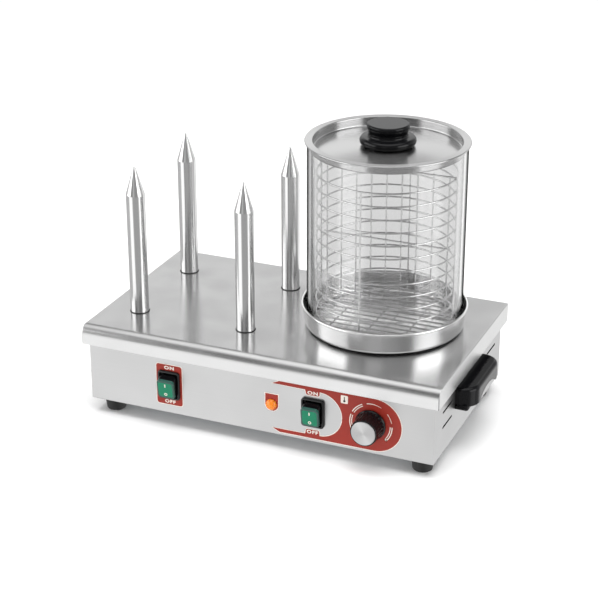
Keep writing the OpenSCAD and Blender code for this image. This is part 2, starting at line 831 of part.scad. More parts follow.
// Half height of the tapered rocker at a distance from its pivot
function rocker_half(at) =
    let (face = rocker_reach + pivot_depth)
    rocker_base_h / 2 - (rocker_base_h - rocker_face_h) / 2 * (at - rocker_skirt) / (face - rocker_skirt);

// Puts a rocker at its pivot, leaning as it does when it is off
module at_rocker(x) {
    translate([x, front_y + pivot_depth, switch_z]) rotate([rocker_tilt, 0, 0]) children();
}

module rocker(x) {
    lens_from = rocker_reach + pivot_depth - lens_t;
    color("#101010") at_rocker(x) {
        intersection() {
            rotate([90, 0, 90]) linear_extrude(height = rocker_w, center = true)
                rocker_side(rocker_skirt, lens_from);
            translate([0, cut, 0]) rotate([90, 0, 0])
                linear_extrude(height = rocker_reach + pivot_depth + 2 * cut)
                    rounded_plate(rocker_w, rocker_base_h, rocker_round_r);
        }
        translate([-root_w / 2, -rocker_skirt - bezel_t / 2, -root_h / 2])
            cube([root_w, rocker_skirt + bezel_t / 2 + root_depth, root_h]);
        translate([-root_w / 2 - pivot_l, 0, 0]) rotate([0, 90, 0])
            cylinder(r = pivot_r, h = root_w + 2 * pivot_l);
    }
}

module rocker_lens(x) {
    face = rocker_reach + pivot_depth;
    color("seagreen") at_rocker(x) intersection() {
        rotate([90, 0, 90]) linear_extrude(height = rocker_w, center = true)
            rocker_side(face - lens_t, face);
        translate([0, cut, 0]) rotate([90, 0, 0]) linear_extrude(height = face + 2 * cut)
            rounded_plate(rocker_w, rocker_face_h + lens_t / 2, rocker_round_r);
    }
}

module rocker_left() { rocker(switch_left_x); }
module rocker_lens_left() { rocker_lens(switch_left_x); }
module rocker_right() { rocker(switch_right_x); }
module rocker_lens_right() { rocker_lens(switch_right_x); }

// Signal lamp: barrel through the front, nut behind it and a domed lens
module lamp_body() {
    color("#202020") translate([lamp_x, 0, lamp_z]) front_rod(lamp_body_r, -lamp_body_l, lamp_body_l);
}

module lamp_lens() {
    ball_r = (lamp_r * lamp_r + lamp_dome_h * lamp_dome_h) / (2 * lamp_dome_h);
    color("orange") translate([lamp_x, front_y, lamp_z]) rotate([90, 0, 0]) {
        cylinder(r = lamp_r, h = lamp_rim_h);
        intersection() {
            translate([0, 0, lamp_rim_h + lamp_dome_h - ball_r]) sphere(r = ball_r);
            translate([0, 0, lamp_rim_h / 2]) cylinder(r = lamp_r, h = lamp_dome_h + lamp_rim_h);
        }
    }
}

module lamp_nut() {
    color("#303030") translate([lamp_x, front_y + sheet + lamp_nut_h, lamp_z]) rotate([90, 0, 0])
        difference() {
            cylinder(r = lamp_nut_r, h = lamp_nut_h);
            translate([0, 0, -cut]) cylinder(r = lamp_body_r + run_gap, h = lamp_nut_h + 2 * cut);
        }
}

// Fluted skirt with a recess for the cap, hollow behind and bored for the shaft
module thermostat_knob() {
    rim = knob_reach - cap_h + cap_sink;
    hollow = knob_back + knob_hollow_h;
    bore_r = shaft_r + run_gap;
    color("#121212") translate([dial_x, front_y, dial_z]) rotate([90, 0, 0]) difference() {
        rotate_extrude() polygon([[bore_r, hollow], [knob_hollow_r, hollow], [knob_hollow_r, knob_back],
            [knob_r, knob_back], [knob_r, knob_back + knob_flange_h / 2],
            [knob_body_r, knob_back + knob_flange_h], [knob_front_r, rim - cap_sink],
            [knob_front_r - cap_sink, rim], [cap_r + run_gap, rim], [cap_r + run_gap, rim - cap_sink],
            [0, rim - cap_sink], [0, shaft_out + seat], [bore_r, shaft_out + seat]]);
        for (i = [0 : flutes - 1]) rotate([0, 0, i * 360 / flutes])
            translate([knob_front_r + flute_r / 2, 0, knob_back + knob_flange_h + flute_r])
                cylinder(r = flute_r, h = knob_reach);
    }
}

module knob_cap() {
    top = knob_reach - cap_h;
    color("white") translate([dial_x, front_y, dial_z]) rotate([90, 0, 0]) rotate_extrude()
        polygon([[0, top], [cap_r, top], [cap_r, top + cap_h / 2],
            [cap_r - cap_h / 2, top + cap_h], [0, top + cap_h]]);
}

module thermostat_shaft() {
    color("silver") translate([dial_x, front_y + shaft_in, dial_z]) rotate([90, 0, 0])
        cylinder(r = shaft_r, h = shaft_in + shaft_out);
}

// Plan of a handle against the side: flat on the sheet, round at its outer corners
module handle_plan(l, reach, r) {
    polygon([[0, -l / 2], [reach - r, -l / 2], [reach, -l / 2 + r],
        [reach, l / 2 - r], [reach - r, l / 2], [0, l / 2]]);
    for (s = [-1, 1]) translate([reach - r, s * (l / 2 - r)]) circle(r = r);
}

// Cup handle: closed top, finger pocket open below, arched lower edge and two feet
module handle() {
    low = handle_z - handle_h;
    mid_l = handle_l - 2 * handle_end_l;
    arch_r = (mid_l * mid_l / 4 + handle_arch * handle_arch) / (2 * handle_arch);
    color("#0d0d0d") difference() {
        union() {
            intersection() {
                translate([0, 0, low]) linear_extrude(height = handle_h)
                    handle_plan(handle_l, handle_reach, handle_corner_r);
                rotate([90, 0, 0]) linear_extrude(height = handle_l + 2 * cut, center = true)
                    fold_outline(2 * handle_reach, low - cut, handle_z, handle_edge_r, handle_edge_r, 0);
                rotate([90, 0, 90]) linear_extrude(height = handle_reach + cut)
                    fold_outline(handle_l, low - cut, handle_z, handle_edge_r, handle_edge_r, 0);
            }
            for (s = [-1, 1]) translate([0, s * (handle_l - handle_foot_w) / 2, 0]) {
                translate([0, -handle_foot_w / 2, handle_foot_z + handle_foot_w / 2])
                    cube([handle_foot_t, handle_foot_w, handle_z - handle_foot_z - handle_foot_w]);
                translate([0, 0, handle_foot_z + handle_foot_w / 2]) rotate([0, 90, 0])
                    cylinder(r = handle_foot_w / 2, h = handle_foot_t);
            }
        }
        translate([0, 0, low - cut]) linear_extrude(height = handle_h - handle_top_t + cut)
            intersection() {
                handle_plan(handle_l - 2 * handle_wall, handle_reach - handle_wall,
                    handle_corner_r - handle_wall);
                translate([handle_wall, -mid_l / 2]) square([handle_reach, mid_l]);
            }
        translate([-cut, 0, low + handle_arch - arch_r]) rotate([0, 90, 0])
            cylinder(r = arch_r, h = handle_reach + 2 * cut);
        for (s = [-1, 1])
            translate([-cut, s * (handle_l / 2 - handle_screw_inset), handle_z - handle_screw_drop])
                rotate([0, 90, 0]) cylinder(r = handle_screw_r + run_gap, h = handle_screw_l + cut + seat);
    }
}

module handle_left() { translate([-side_x, handle_y, 0]) mirror([1, 0, 0]) handle(); }
module handle_right() { translate([side_x, handle_y, 0]) handle(); }

module handle_screws() {
    color("silver") at_handle_screws() {
        translate([0, 0, -sheet - handle_screw_head_h])
            cylinder(r = handle_screw_head_r, h = handle_screw_head_h);
        translate([0, 0, -sheet - handle_screw_head_h])
            cylinder(r = handle_screw_r, h = sheet + handle_screw_head_h + handle_screw_l);
    }
}

// Cord gland: hexagon against the back, threaded sleeve and a domed nut
module gland_body() {
    color("#1c1c1c") translate([gland_x, back_y, gland_z]) rotate([-90, 0, 0]) difference() {
        union() {
            cylinder(r = gland_hex_af / 2 / cos(30), h = gland_hex_h, $fn = 6);
            translate([0, 0, -gland_sleeve_in]) cylinder(r = gland_r, h = gland_sleeve_in + gland_sleeve_out);
        }
        translate([0, 0, -gland_sleeve_in - cut])
            cylinder(r = gland_bore_r, h = gland_sleeve_in + gland_sleeve_out + 2 * cut);
    }
}

module gland_nut() {
    from = gland_hex_h + seat;
    shoulder = gland_reach - gland_nut_r + cord_hole_r;
    color("#1c1c1c") translate([gland_x, back_y, gland_z]) rotate([-90, 0, 0]) difference() {
        rotate_extrude() polygon([[0, from], [gland_nut_r, from], [gland_nut_r, shoulder],
            [gland_nut_r - (gland_reach - shoulder) / 2, gland_reach], [0, gland_reach]]);
        translate([0, 0, from - cut])
            cylinder(r = gland_r + run_gap, h = gland_reach - gland_throat_l - from + cut);
        cylinder(r = cord_hole_r, h = gland_reach + cut);
    }
}

module gland_locknut() {
    color("#1c1c1c") translate([gland_x, back_y - sheet, gland_z]) rotate([90, 0, 0])
        hex_ring(gland_hex_af, gland_r + run_gap, gland_locknut_h);
}

module terminal_block() {
    color("ivory") translate([terminal_x, terminal_y, plate_top]) difference() {
        translate([-terminal_w / 2, -terminal_d / 2, 0]) cube([terminal_w, terminal_d, terminal_h]);
        for (i = [0 : terminal_ways - 1], s = [-1, 1])
            translate([(i - (terminal_ways - 1) / 2) * terminal_pitch, s * terminal_d / 4, terminal_h / 2])
                cylinder(r = terminal_screw_r + fixing_gap, h = terminal_h);
    }
}

module terminal_screws() {
    color("goldenrod") for (i = [0 : terminal_ways - 1], s = [-1, 1])
        translate([terminal_x + (i - (terminal_ways - 1) / 2) * terminal_pitch,
            terminal_y + s * terminal_d / 4, plate_top + terminal_h / 2])
            cylinder(r = terminal_screw_r, h = terminal_h / 3);
}

// Glass tube with its edges melted round
module glass_cylinder() {
    color([0.8, 0.9, 0.95, 0.35]) translate([steamer_x, steamer_y, 0]) rotate_extrude()
        translate([glass_r - glass_wall / 2, glass_z + glass_h / 2])
            rounded_plate(glass_wall, glass_h, glass_round_r);
}

// Pressed lid: rolled rim, plug that drops into the glass and a domed middle
module lid() {
    color("silver") translate([steamer_x, steamer_y, 0]) difference() {
        rotate_extrude() {
            translate([plug_r - lid_sheet, lid_z])
                square([lid_r - lid_bead_r - plug_r + lid_sheet, lid_sheet]);
            translate([lid_r - lid_bead_r, lid_z + lid_sheet - lid_bead_r]) circle(r = lid_bead_r);
            translate([plug_r - lid_sheet, dome_low_z + plug_bend_r - lid_sheet])
                square([lid_sheet, plug_h - plug_bend_r + lid_sheet]);
            translate([plug_r - plug_bend_r, dome_low_z + plug_bend_r - lid_sheet]) intersection() {
                difference() {
                    circle(r = plug_bend_r);
                    circle(r = plug_bend_r - lid_sheet);
                }
                translate([0, -plug_bend_r]) square(plug_bend_r);
            }
            translate([dome_r - lid_sheet, dome_low_z - lid_sheet])
                square([plug_r - plug_bend_r - dome_r + lid_sheet, lid_sheet]);
            intersection() {
                translate([0, lid_middle_z - dome_ball_r]) difference() {
                    circle(r = dome_ball_r);
                    circle(r = dome_ball_r - lid_sheet);
                }
                translate([0, dome_low_z - lid_sheet]) square([dome_r, dome_h + 2 * lid_sheet]);
            }
        }
        translate([0, 0, lid_middle_z - 2 * lid_sheet]) cylinder(r = lid_hole_r, h = 3 * lid_sheet);
    }
}

// Turned knob: round foot, hollow waist and flat head
module lid_knob() {
    foot_round = knob_foot_h / 2;
    groove_z = knob_foot_h + knob_groove_r * knob_groove_share;
    color("#101010") translate([steamer_x, steamer_y, lid_knob_z]) difference() {
        rotate_extrude() {
            square([lid_knob_r - foot_round, knob_foot_h]);
            intersection() {
                translate([lid_knob_r - foot_round, foot_round]) circle(r = foot_round);
                square([lid_knob_r, knob_foot_h]);
            }
            difference() {
                union() {
                    translate([0, foot_round]) square([knob_top_r, lid_knob_h - foot_round - knob_edge_r]);
                    square([knob_top_r - knob_edge_r, lid_knob_h]);
                    translate([knob_top_r - knob_edge_r, lid_knob_h - knob_edge_r]) circle(r = knob_edge_r);
                }
                translate([knob_waist_r + knob_groove_r, groove_z]) circle(r = knob_groove_r);
            }
        }
        translate([0, 0, -cut]) cylinder(r = lid_screw_r + run_gap, h = lid_screw_l + cut);
    }
}

module lid_knob_screw() {
    low = lid_middle_z - lid_sheet - lid_screw_head_h - seat;
    color("silver") translate([steamer_x, steamer_y, low]) {
        cylinder(r = lid_screw_head_r, h = lid_screw_head_h);
        cylinder(r = lid_screw_r, h = lid_screw_head_h + lid_screw_l);
    }
}

// Straight wire between two points that differ along one axis
module wire_x(x0, x1, y, z) {
    translate([x0, y, z]) rotate([0, 90, 0]) cylinder(r = wire_r, h = x1 - x0);
}

module wire_y(y0, y1, x, z) {
    translate([x, y0, z]) rotate([-90, 0, 0]) cylinder(r = wire_r, h = y1 - y0);
}

module wire_z(z0, z1, x, y) {
    translate([x, y, z0]) cylinder(r = wire_r, h = z1 - z0);
}

module hoop(z) {
    translate([0, 0, z]) rotate_extrude() translate([hoop_r, 0]) circle(r = wire_r);
}

// Hoops and floor ring, welded inside four ribs that run down as legs
module basket_wall() {
    color("gainsboro") translate([steamer_x, steamer_y, 0]) {
        hoop(floor_ring_z);
        for (i = [0 : hoops - 1]) hoop(first_hoop_z + i * hoop_pitch);
        for (a = [0 : 90 : 270])
            wire_z(leg_z, top_hoop_z + wire_r, rib_r * cos(a), rib_r * sin(a));
    }
}

// Floor grid: parallel wires under the ring on cross wires
module basket_floor() {
    color("gainsboro") translate([steamer_x, steamer_y, 0]) {
        for (i = [-floor_wires_half : floor_wires_half]) {
            y = i * floor_pitch;
            reach = sqrt(hoop_r * hoop_r - y * y);
            wire_x(-reach, reach, y, floor_wire_z);
        }
        for (share = cross_wires_share) {
            x = share * hoop_r;
            reach = sqrt(hoop_r * hoop_r - x * x) - wire_d;
            wire_y(-reach, reach, x, cross_wire_z);
        }
    }
}

// Wire grid that halves the basket and hooks over the top hoop
module basket_divider() {
    color("gainsboro") translate([steamer_x, steamer_y, 0]) {
        wire_x(-hook_x + hook_bend_r, hook_x - hook_bend_r, divider_y, divider_top_z);
        for (z = [divider_low_z, divider_mid_z]) wire_x(-divider_low_x, divider_low_x, divider_y, z);
        for (i = [-uprights_half : uprights_half])
            wire_z(divider_low_z - wire_r, divider_top_z + wire_r, i * upright_pitch, upright_y);
        for (s = [0, 1]) mirror([s, 0, 0]) {
            translate([hook_x - hook_bend_r, divider_y, divider_top_z - hook_bend_r]) rotate([90, 0, 0])
                rotate_extrude(angle = 90) translate([hook_bend_r, 0]) circle(r = wire_r);
            wire_z(divider_top_z - hook_l, divider_top_z - hook_bend_r, hook_x, divider_y);
        }
    }
}

top_cover();
body_shell();
base_plate();
foot_front_left();
foot_front_right();
foot_rear_left();
foot_rear_right();
foot_screws();
foot_nuts();
cover_nuts();
floor_screws();
spike_front_left();
spike_rear_left();
spike_front_right();
spike_rear_right();
spike_gaskets();
spike_nuts();
spike_heaters();
water_pan();
heating_plate();
heating_element();
plate_spacer();
heater_bridge();
heater_nuts();
thermostat_body();
thermostat_nut();
thermostat_bulb();
switch_housing_left();
switch_housing_right();
switch_terminals();
lamp_body();
lamp_lens();
lamp_nut();
handle_left();
handle_right();
handle_screws();
gland_body();
gland_nut();
gland_locknut();
terminal_block();
terminal_screws();
glass_cylinder();
lid();
lid_knob();
lid_knob_screw();
basket_wall();
basket_floor();
basket_divider();
thermostat_shaft();
thermostat_knob();
knob_cap();
rocker_left();
rocker_lens_left();
rocker_right();
rocker_lens_right();
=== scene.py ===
import math

import bpy
import numpy as np
from bpy.props import FloatProperty, FloatVectorProperty, IntProperty, PointerProperty
from bpy.types import Operator, Panel, PropertyGroup
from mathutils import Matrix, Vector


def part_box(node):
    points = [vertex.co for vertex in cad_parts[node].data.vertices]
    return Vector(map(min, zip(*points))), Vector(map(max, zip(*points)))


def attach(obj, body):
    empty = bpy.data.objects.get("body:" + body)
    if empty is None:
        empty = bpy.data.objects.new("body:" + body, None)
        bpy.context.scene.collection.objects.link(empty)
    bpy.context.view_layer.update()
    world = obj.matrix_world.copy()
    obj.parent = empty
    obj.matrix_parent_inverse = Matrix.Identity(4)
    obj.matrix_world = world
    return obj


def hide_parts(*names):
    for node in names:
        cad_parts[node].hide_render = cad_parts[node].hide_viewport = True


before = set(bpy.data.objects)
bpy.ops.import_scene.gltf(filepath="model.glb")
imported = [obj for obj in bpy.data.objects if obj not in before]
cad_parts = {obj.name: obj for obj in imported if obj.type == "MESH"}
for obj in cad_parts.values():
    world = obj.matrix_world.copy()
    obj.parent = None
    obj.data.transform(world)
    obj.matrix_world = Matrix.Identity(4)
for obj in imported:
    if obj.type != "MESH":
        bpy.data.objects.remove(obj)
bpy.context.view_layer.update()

bl_info = {
    "name": "Hot dog machine",
    "version": (1, 0, 0),
    "blender": (4, 5, 0),
    "location": "3D View > Sidebar > Hot dog machine",
    "description": "Dresses a table-top hot dog machine: cover, spikes, steamer, basket and controls",
    "category": "Object",
}

MM = 0.001  # shapes are worked out in millimetres and stored in metres
HOLD = 0.25  # distance from a bend at which its shading ends


# Colours

def paint(text):
    """Linear RGBA of an sRGB hex colour."""
    share = np.array([int(text[i:i + 2], 16) for i in (1, 3, 5)]) / 255
    linear = np.where(share <= 0.04045, share / 12.92, ((share + 0.055) / 1.055) ** 2.4)
    return (*linear.tolist(), 1.0)


def colour_of(label, text, told):
    """A colour that a user can change."""
    return FloatVectorProperty(name=label, description=told, default=paint(text), size=4,
                               subtype="COLOR", min=0, max=1)


def length_of(label, millimetres, told):
    """A length that a user can change, in metres like the frame."""
    return FloatProperty(name=label, description=told, default=millimetres * MM, min=0,
                         subtype="DISTANCE", unit="LENGTH")


# Sizes and colours that a user would change

class SteelLook(PropertyGroup):
    """Finish of the stainless pieces."""
    cover: colour_of("Cover", "#D0D0D0", "Brushed sheet of the cover")
    body: colour_of("Body", "#C4C4C4", "Brushed sheet of the body")
    rod: colour_of("Spikes", "#DEDEDE", "Polished rod of the spikes")
    spun: colour_of("Pan", "#F4F4F4", "Spun sheet of the pan")
    # Painted shade: the lid is the pan's spun stainless, given a darker colour
    spun_lid: colour_of("Lid", "#C2C2C2", "Spun sheet of the lid")
    wire: colour_of("Basket", "#E2E2E2", "Drawn wire of the basket")
    brush_pitch: length_of("Brush pitch", 0.9, "Spacing of the brushing, drawn coarse enough to show")
    brush_run: length_of("Brush run", 160, "Length of one brushed line")


class SteamerSizes(PropertyGroup):
    """Small sizes of the pan, the glass, the lid and its knob."""
    pan_bead: length_of("Pan bead", 1.5, "Radius of the pan's rolled rim")
    pan_bend: length_of("Pan bend", 4.6, "Radius between the pan's floor and wall")
    pan_draft: length_of("Pan draft", 3.5, "How much the pan's wall narrows towards its floor")
    pan_sheet: length_of("Pan sheet", 1, "Thickness of the pan's sheet")
    glass_wall: length_of("Glass wall", 5, "Wall of the glass cylinder")
    glass_round: length_of("Glass edge", 1.8, "Radius of the melted edges")
    lid_bead: length_of("Lid bead", 1.2, "Radius of the lid's rolled rim")
    lid_plug: length_of("Lid plug", 93, "Radius of the plug that drops into the glass")
    lid_deep: length_of("Lid depth", 11.5, "Depth of the plug below the rim")
    lid_dome: length_of("Lid dome", 5.4, "Rise of the lid's middle")


class BasketSizes(PropertyGroup):
    """Wires of the basket."""
    wire: length_of("Wire", 2.1, "Diameter of the wire")
    weld: length_of("Weld", 0.1, "How far crossing wires sink into each other")
    hoop: length_of("Hoop", 87, "Radius of a hoop")
    over: length_of("Rib end", 1.25, "How far the ribs pass the top hoop")
    ring_up: length_of("Floor ring", 16.7, "Height of the floor ring above the foot of the ribs")
    first_up: length_of("First hoop", 19.2, "Height of the first hoop above the floor ring")
    floor_pitch: length_of("Floor pitch", 12, "Spacing of the floor wires")
    upright_pitch: length_of("Upright pitch", 20, "Spacing of the divider's uprights")
    hoops: IntProperty(name="Hoops", description="Hoops above the floor ring", default=11, min=2, max=20)
    sides: IntProperty(name="Sides", description="Sides of a wire", default=12, min=6, max=24)


class ControlLook(PropertyGroup):
    """Colours and small sizes of the controls and the printed plates."""
    black: colour_of("Black parts", "#0E0E10", "Moulded black parts")
    green: colour_of("Rocker green", "#067A58", "Middle of a rocker's face")
    green_rim: colour_of("Rocker rim", "#164A40", "Rim of a rocker's face")
    amber: colour_of("Lamp amber", "#F08A22", "Lens of the lamp")
    red: colour_of("Plate red", "#9C2A1C", "Printed plates behind the controls")
    pale: colour_of("Bare vinyl", "#EFE6DC", "Edge and lettering of the printed plates")
    cap: colour_of("Knob cap", "#BEBEBE", "Turned cap of the thermostat knob")
    plate_edge: length_of("Plate edge", 0.9, "Width of the pale edge of the printed plates")
    plate_thick: length_of("Plate thickness", 0.2, "Thickness of a printed plate")
    flutes: IntProperty(name="Flutes", description="Flutes round the knob", default=24, min=8, max=60)


class StageLook(PropertyGroup):
    """Floor, studio light and camera."""
    floor: colour_of("Floor", "#FEFEFE", "Pale floor")
    glow: FloatProperty(name="Light", description="Strength of the studio light", default=1.0, min=0)
    lens: FloatProperty(name="Lens", description="Focal length in millimetres", default=102.0, min=10)


# Shapes: each gives rings of points, in millimetres

def eased(corners, closed=False, steps=6):
    """Profile through corners (a, b, radius). Each corner gives way to the arc of its radius that touches
    both its sides, so a radius of 0 keeps it sharp. The arc's ends lie radius / tan(half angle) from
    the corner and its middle lies radius / sin(half angle) along the bisector."""
    table = np.array([(*c, 0.0)[:3] for c in corners], float)
    p, r = table[:, :2], table[:, 2].copy()
    if not closed:
        r[[0, -1]] = 0
    back, ahead = np.roll(p, 1, 0) - p, np.roll(p, -1, 0) - p
    long_back, long_ahead = np.linalg.norm(back, axis=1), np.linalg.norm(ahead, axis=1)
    u, v = back / np.maximum(long_back, 1e-9)[:, None], ahead / np.maximum(long_ahead, 1e-9)[:, None]
    half = np.arccos(np.clip((u * v).sum(1), -1, 1)) / 2
    reach = np.minimum(r / np.tan(np.maximum(half, 1e-6)), 0.499 * np.minimum(long_back, long_ahead))
    radius = reach * np.tan(half)
    middle = u + v
    middle /= np.maximum(np.linalg.norm(middle, axis=1), 1e-9)[:, None]
    centre = p + middle * (radius / np.maximum(np.sin(half), 1e-6))[:, None]
    start, end = p + u * reach[:, None] - centre, p + v * reach[:, None] - centre
    first = np.arctan2(start[:, 1], start[:, 0])
    turn = (np.arctan2(end[:, 1], end[:, 0]) - first + np.pi) % (2 * np.pi) - np.pi
    angle = first[:, None] + turn[:, None] * np.linspace(0, 1, steps + 1)
    arc = centre[:, None] + radius[:, None, None] * np.stack([np.cos(angle), np.sin(angle)], -1)
    soft = (radius > 1e-4) & (np.abs(turn) > 1e-3)
    arc[~soft, 0] = p[~soft]
    keep = soft[:, None] | (np.arange(steps + 1) == 0)
    return arc[keep]


def arc(a, b, radius, first, last, steps=12):
    """Points on a circle round (a, b), from one angle to another in degrees."""
    t = np.radians(np.linspace(first, last, steps))
    return np.stack([a + radius * np.cos(t), b + radius * np.sin(t)], -1)


def turned(profile, place, around=96, outward=False):
    """Turned piece: each profile point (radius, height) becomes a ring round the upright axis through place.
    Outward pieces stand on the front, with their height along -Y."""
    radius, height = np.asarray(profile, float).T
    t = np.arange(around) / around * 2 * np.pi
    a, b = radius[:, None] * np.cos(t), radius[:, None] * np.sin(t)
    h = np.broadcast_to(height[:, None], a.shape)
    return np.stack([a, -h, b] if outward else [a, b, h], -1) + np.asarray(place, float)


def boxed(x0, x1, y0, y1, corner, level, per=5):
    """Rounded rectangles, one for each level: quarter circles of the corner radius joined by straight sides.
    Each side has a point close to both its ends, HOLD along it, so that the shading of a corner
    stays at the corner."""
    x0, x1, y0, y1, c, z = np.broadcast_arrays(*[np.atleast_1d(np.asarray(v, float))
                                                 for v in (x0, x1, y0, y1, corner, level)])
    quarter = np.repeat(np.arange(4), per + 2)
    share = np.concatenate([[0], np.linspace(0, 1, per), [1]])
    step = np.tile(np.concatenate([[-1], np.zeros(per), [1]]), 4)
    t = (quarter + np.tile(share, 4)) * np.pi / 2
    right, upper = (quarter == 0) | (quarter == 3), quarter < 2
    free = np.minimum(x1 - x0, y1 - y0) / 2 - c
    step = step * np.clip(free / 2, 0, HOLD)[:, None]
    a = np.where(right, (x1 - c)[:, None], (x0 + c)[:, None]) + c[:, None] * np.cos(t) - step * np.sin(t)
    b = np.where(upper, (y1 - c)[:, None], (y0 + c)[:, None]) + c[:, None] * np.sin(t) + step * np.cos(t)
    return np.stack([a, b, np.broadcast_to(z[:, None], a.shape)], -1)


def block(width, height, corner, profile, per=5):
    """Rounded block whose outline shrinks by the profile's inset as it rises: profile is (inset, level)."""
    inset, level = np.asarray(profile, float).T
    w, h = width / 2 - inset, height / 2 - inset
    return boxed(-w, w, -h, h, np.maximum(corner - inset, 0.3), level, per)


def on_front(rings, x, z, front):
    """Stands rings on the front: their level runs outwards, along -Y, and their second axis upwards."""
    return np.stack([rings[..., 0] + x, front - rings[..., 2], rings[..., 1] + z], -1)


def drawn(path, radius, sides, closed=False):
    """Drawn wire: at each point of a flat path, a circle square to the path. Its two directions are the
    normal of the path's plane and the cross product of that with the path."""
    path = np.asarray(path, float)
    along = np.roll(path, -1, 0) - np.roll(path, 1, 0) if closed else np.gradient(path, axis=0)
    along /= np.linalg.norm(along, axis=1, keepdims=True)
    normal = np.linalg.svd(path - path.mean(0))[2][-1]
    across = np.cross(along, normal)
    t = np.arange(sides) / sides * 2 * np.pi
    radius = np.broadcast_to(np.asarray(radius, float), len(path))
    circle = np.cos(t)[:, None] * normal + np.sin(t)[:, None] * across[:, None]
    return path[:, None] + radius[:, None, None] * circle


def cut_wire(start, end, radius, sides):
    """Straight wire with its two ends broken round."""
    start, end = np.asarray(start, float), np.asarray(end, float)
    span = np.linalg.norm(end - start)
    at = np.array([0, 0.15, 0.5, 1]) * radius
    share = np.concatenate([at, span - at[::-1]]) / span
    wide = np.array([0.45, 0.75, 0.95, 1, 1, 0.95, 0.75, 0.45]) * radius
    return drawn(start + share[:, None] * (end - start), wide, sides)


def spread_out(outline, by):
    """Moves each point of a closed outline outwards along the mean of its two sides' normals."""
    p = np.asarray(outline, float)
    side = np.roll(p, -1, 0) - p
    side /= np.maximum(np.linalg.norm(side, axis=1, keepdims=True), 1e-9)
    normal = np.stack([side[:, 1], -side[:, 0]], -1)
    area = (p[:, 0] * np.roll(p[:, 1], -1) - np.roll(p[:, 0], -1) * p[:, 1]).sum()
    normal *= np.sign(area)
    mean = normal + np.roll(normal, 1, 0)
    mean /= np.maximum(np.linalg.norm(mean, axis=1, keepdims=True), 1e-9)
    lean = np.maximum((mean * normal).sum(1, keepdims=True), 0.55)
    return p + mean / lean * by


# Meshes

def held(rings, closed):
    """Rings with one more beside each bend: where a long run meets a run under a third of its length, a ring
    at HOLD along the long run keeps the shading of the bend from spreading over it."""
    after = np.roll(rings, -1, 0)
    span = np.linalg.norm(after - rings, axis=2).max(1)
    before, beyond = np.roll(span, 1), np.roll(span, -1)
    if not closed:
        span[-1] = 0
        before[0] = beyond[-2] = np.inf
    kept = []
    for ring, end, length, low, high in zip(rings, after, span, before, beyond):
        kept.append(ring)
        if length > 8 * HOLD and low < length / 3:
            kept.append(ring + (end - ring) * HOLD / length)
        if length > 8 * HOLD and high < length / 3:
            kept.append(end + (ring - end) * HOLD / length)
    return np.array(kept)


def skin(rings, closed=False):
    """Closed skin over rings: ring k joins ring k + 1 by quads, and the first and the last are capped flat
    unless the rings close on themselves. Its map runs along the rings in u and across them in v."""
    rings = held(np.asarray(rings, float), closed)
    k, n = rings.shape[:2]
    index = np.arange(k * n).reshape(k, n)
    low, high = (index, np.roll(index, -1, 0)) if closed else (index[:-1], index[1:])
    quads = np.stack([low, np.roll(low, -1, 1), np.roll(high, -1, 1), high], -1).reshape(-1, 4)
    points = rings.reshape(-1, 3)
    u = np.concatenate([[0], np.cumsum(np.linalg.norm(rings - np.roll(rings, -1, 1), axis=2).mean(0))])
    v = np.concatenate([[0], np.cumsum(np.linalg.norm(rings - np.roll(rings, -1, 0), axis=2).mean(1))])
    row, col = np.divmod(np.arange(len(quads)), n)
    spread = np.stack([np.stack([u[col], v[row]], -1), np.stack([u[col + 1], v[row]], -1),
                       np.stack([u[col + 1], v[row + 1]], -1), np.stack([u[col], v[row + 1]], -1)], 1)
    caps = [] if closed else [index[0][::-1], index[-1]]
    a, b, c, d = points[quads].transpose(1, 0, 2)
    volume = (a * np.cross(b, c)).sum() + (a * np.cross(c, d)).sum()
    for cap in caps:
        p = points[cap]
        volume += (p[0] * np.cross(p[1:-1], p[2:])).sum()
    if volume < 0:
        quads, spread = quads[:, ::-1], spread[:, ::-1]
        caps = [cap[::-1] for cap in caps]
    flat = [points[cap][:, [0, 1]] if np.ptp(points[cap][:, 2]) < np.ptp(points[cap][:, 1])
            else points[cap][:, [0, 2]] for cap in caps]
    return points, quads, caps, np.concatenate([spread.reshape(-1, 2), *flat])


def build(name, skins, finish, body, stands_for=(), crease=35):
    """One piece from one or more skins: edges sharper than crease degrees stay sharp."""
    starts = np.cumsum([0] + [len(s[0]) for s in skins])
    faces, runs = [], []
    for start, (_, quads, caps, spread) in zip(starts, skins):
        faces += (quads + start).tolist() + [(cap + start).tolist() for cap in caps]
        runs.append(spread)
    mesh = bpy.data.meshes.new(name)
    mesh.from_pydata((np.concatenate([s[0] for s in skins]) * MM).tolist(), [], faces)
    layer = mesh.uv_layers.new(name="run")
    layer.data.foreach_set("uv", (np.concatenate(runs) * MM).astype(np.float32).ravel())
    mesh.shade_smooth()
    mesh.set_sharp_from_angle(angle=math.radians(crease))
    mesh.materials.append(finish)
    piece = bpy.data.objects.new(name, mesh)
    bpy.context.scene.collection.objects.link(piece)
    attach(piece, body)
    if stands_for:
        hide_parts(*stands_for)
    return piece


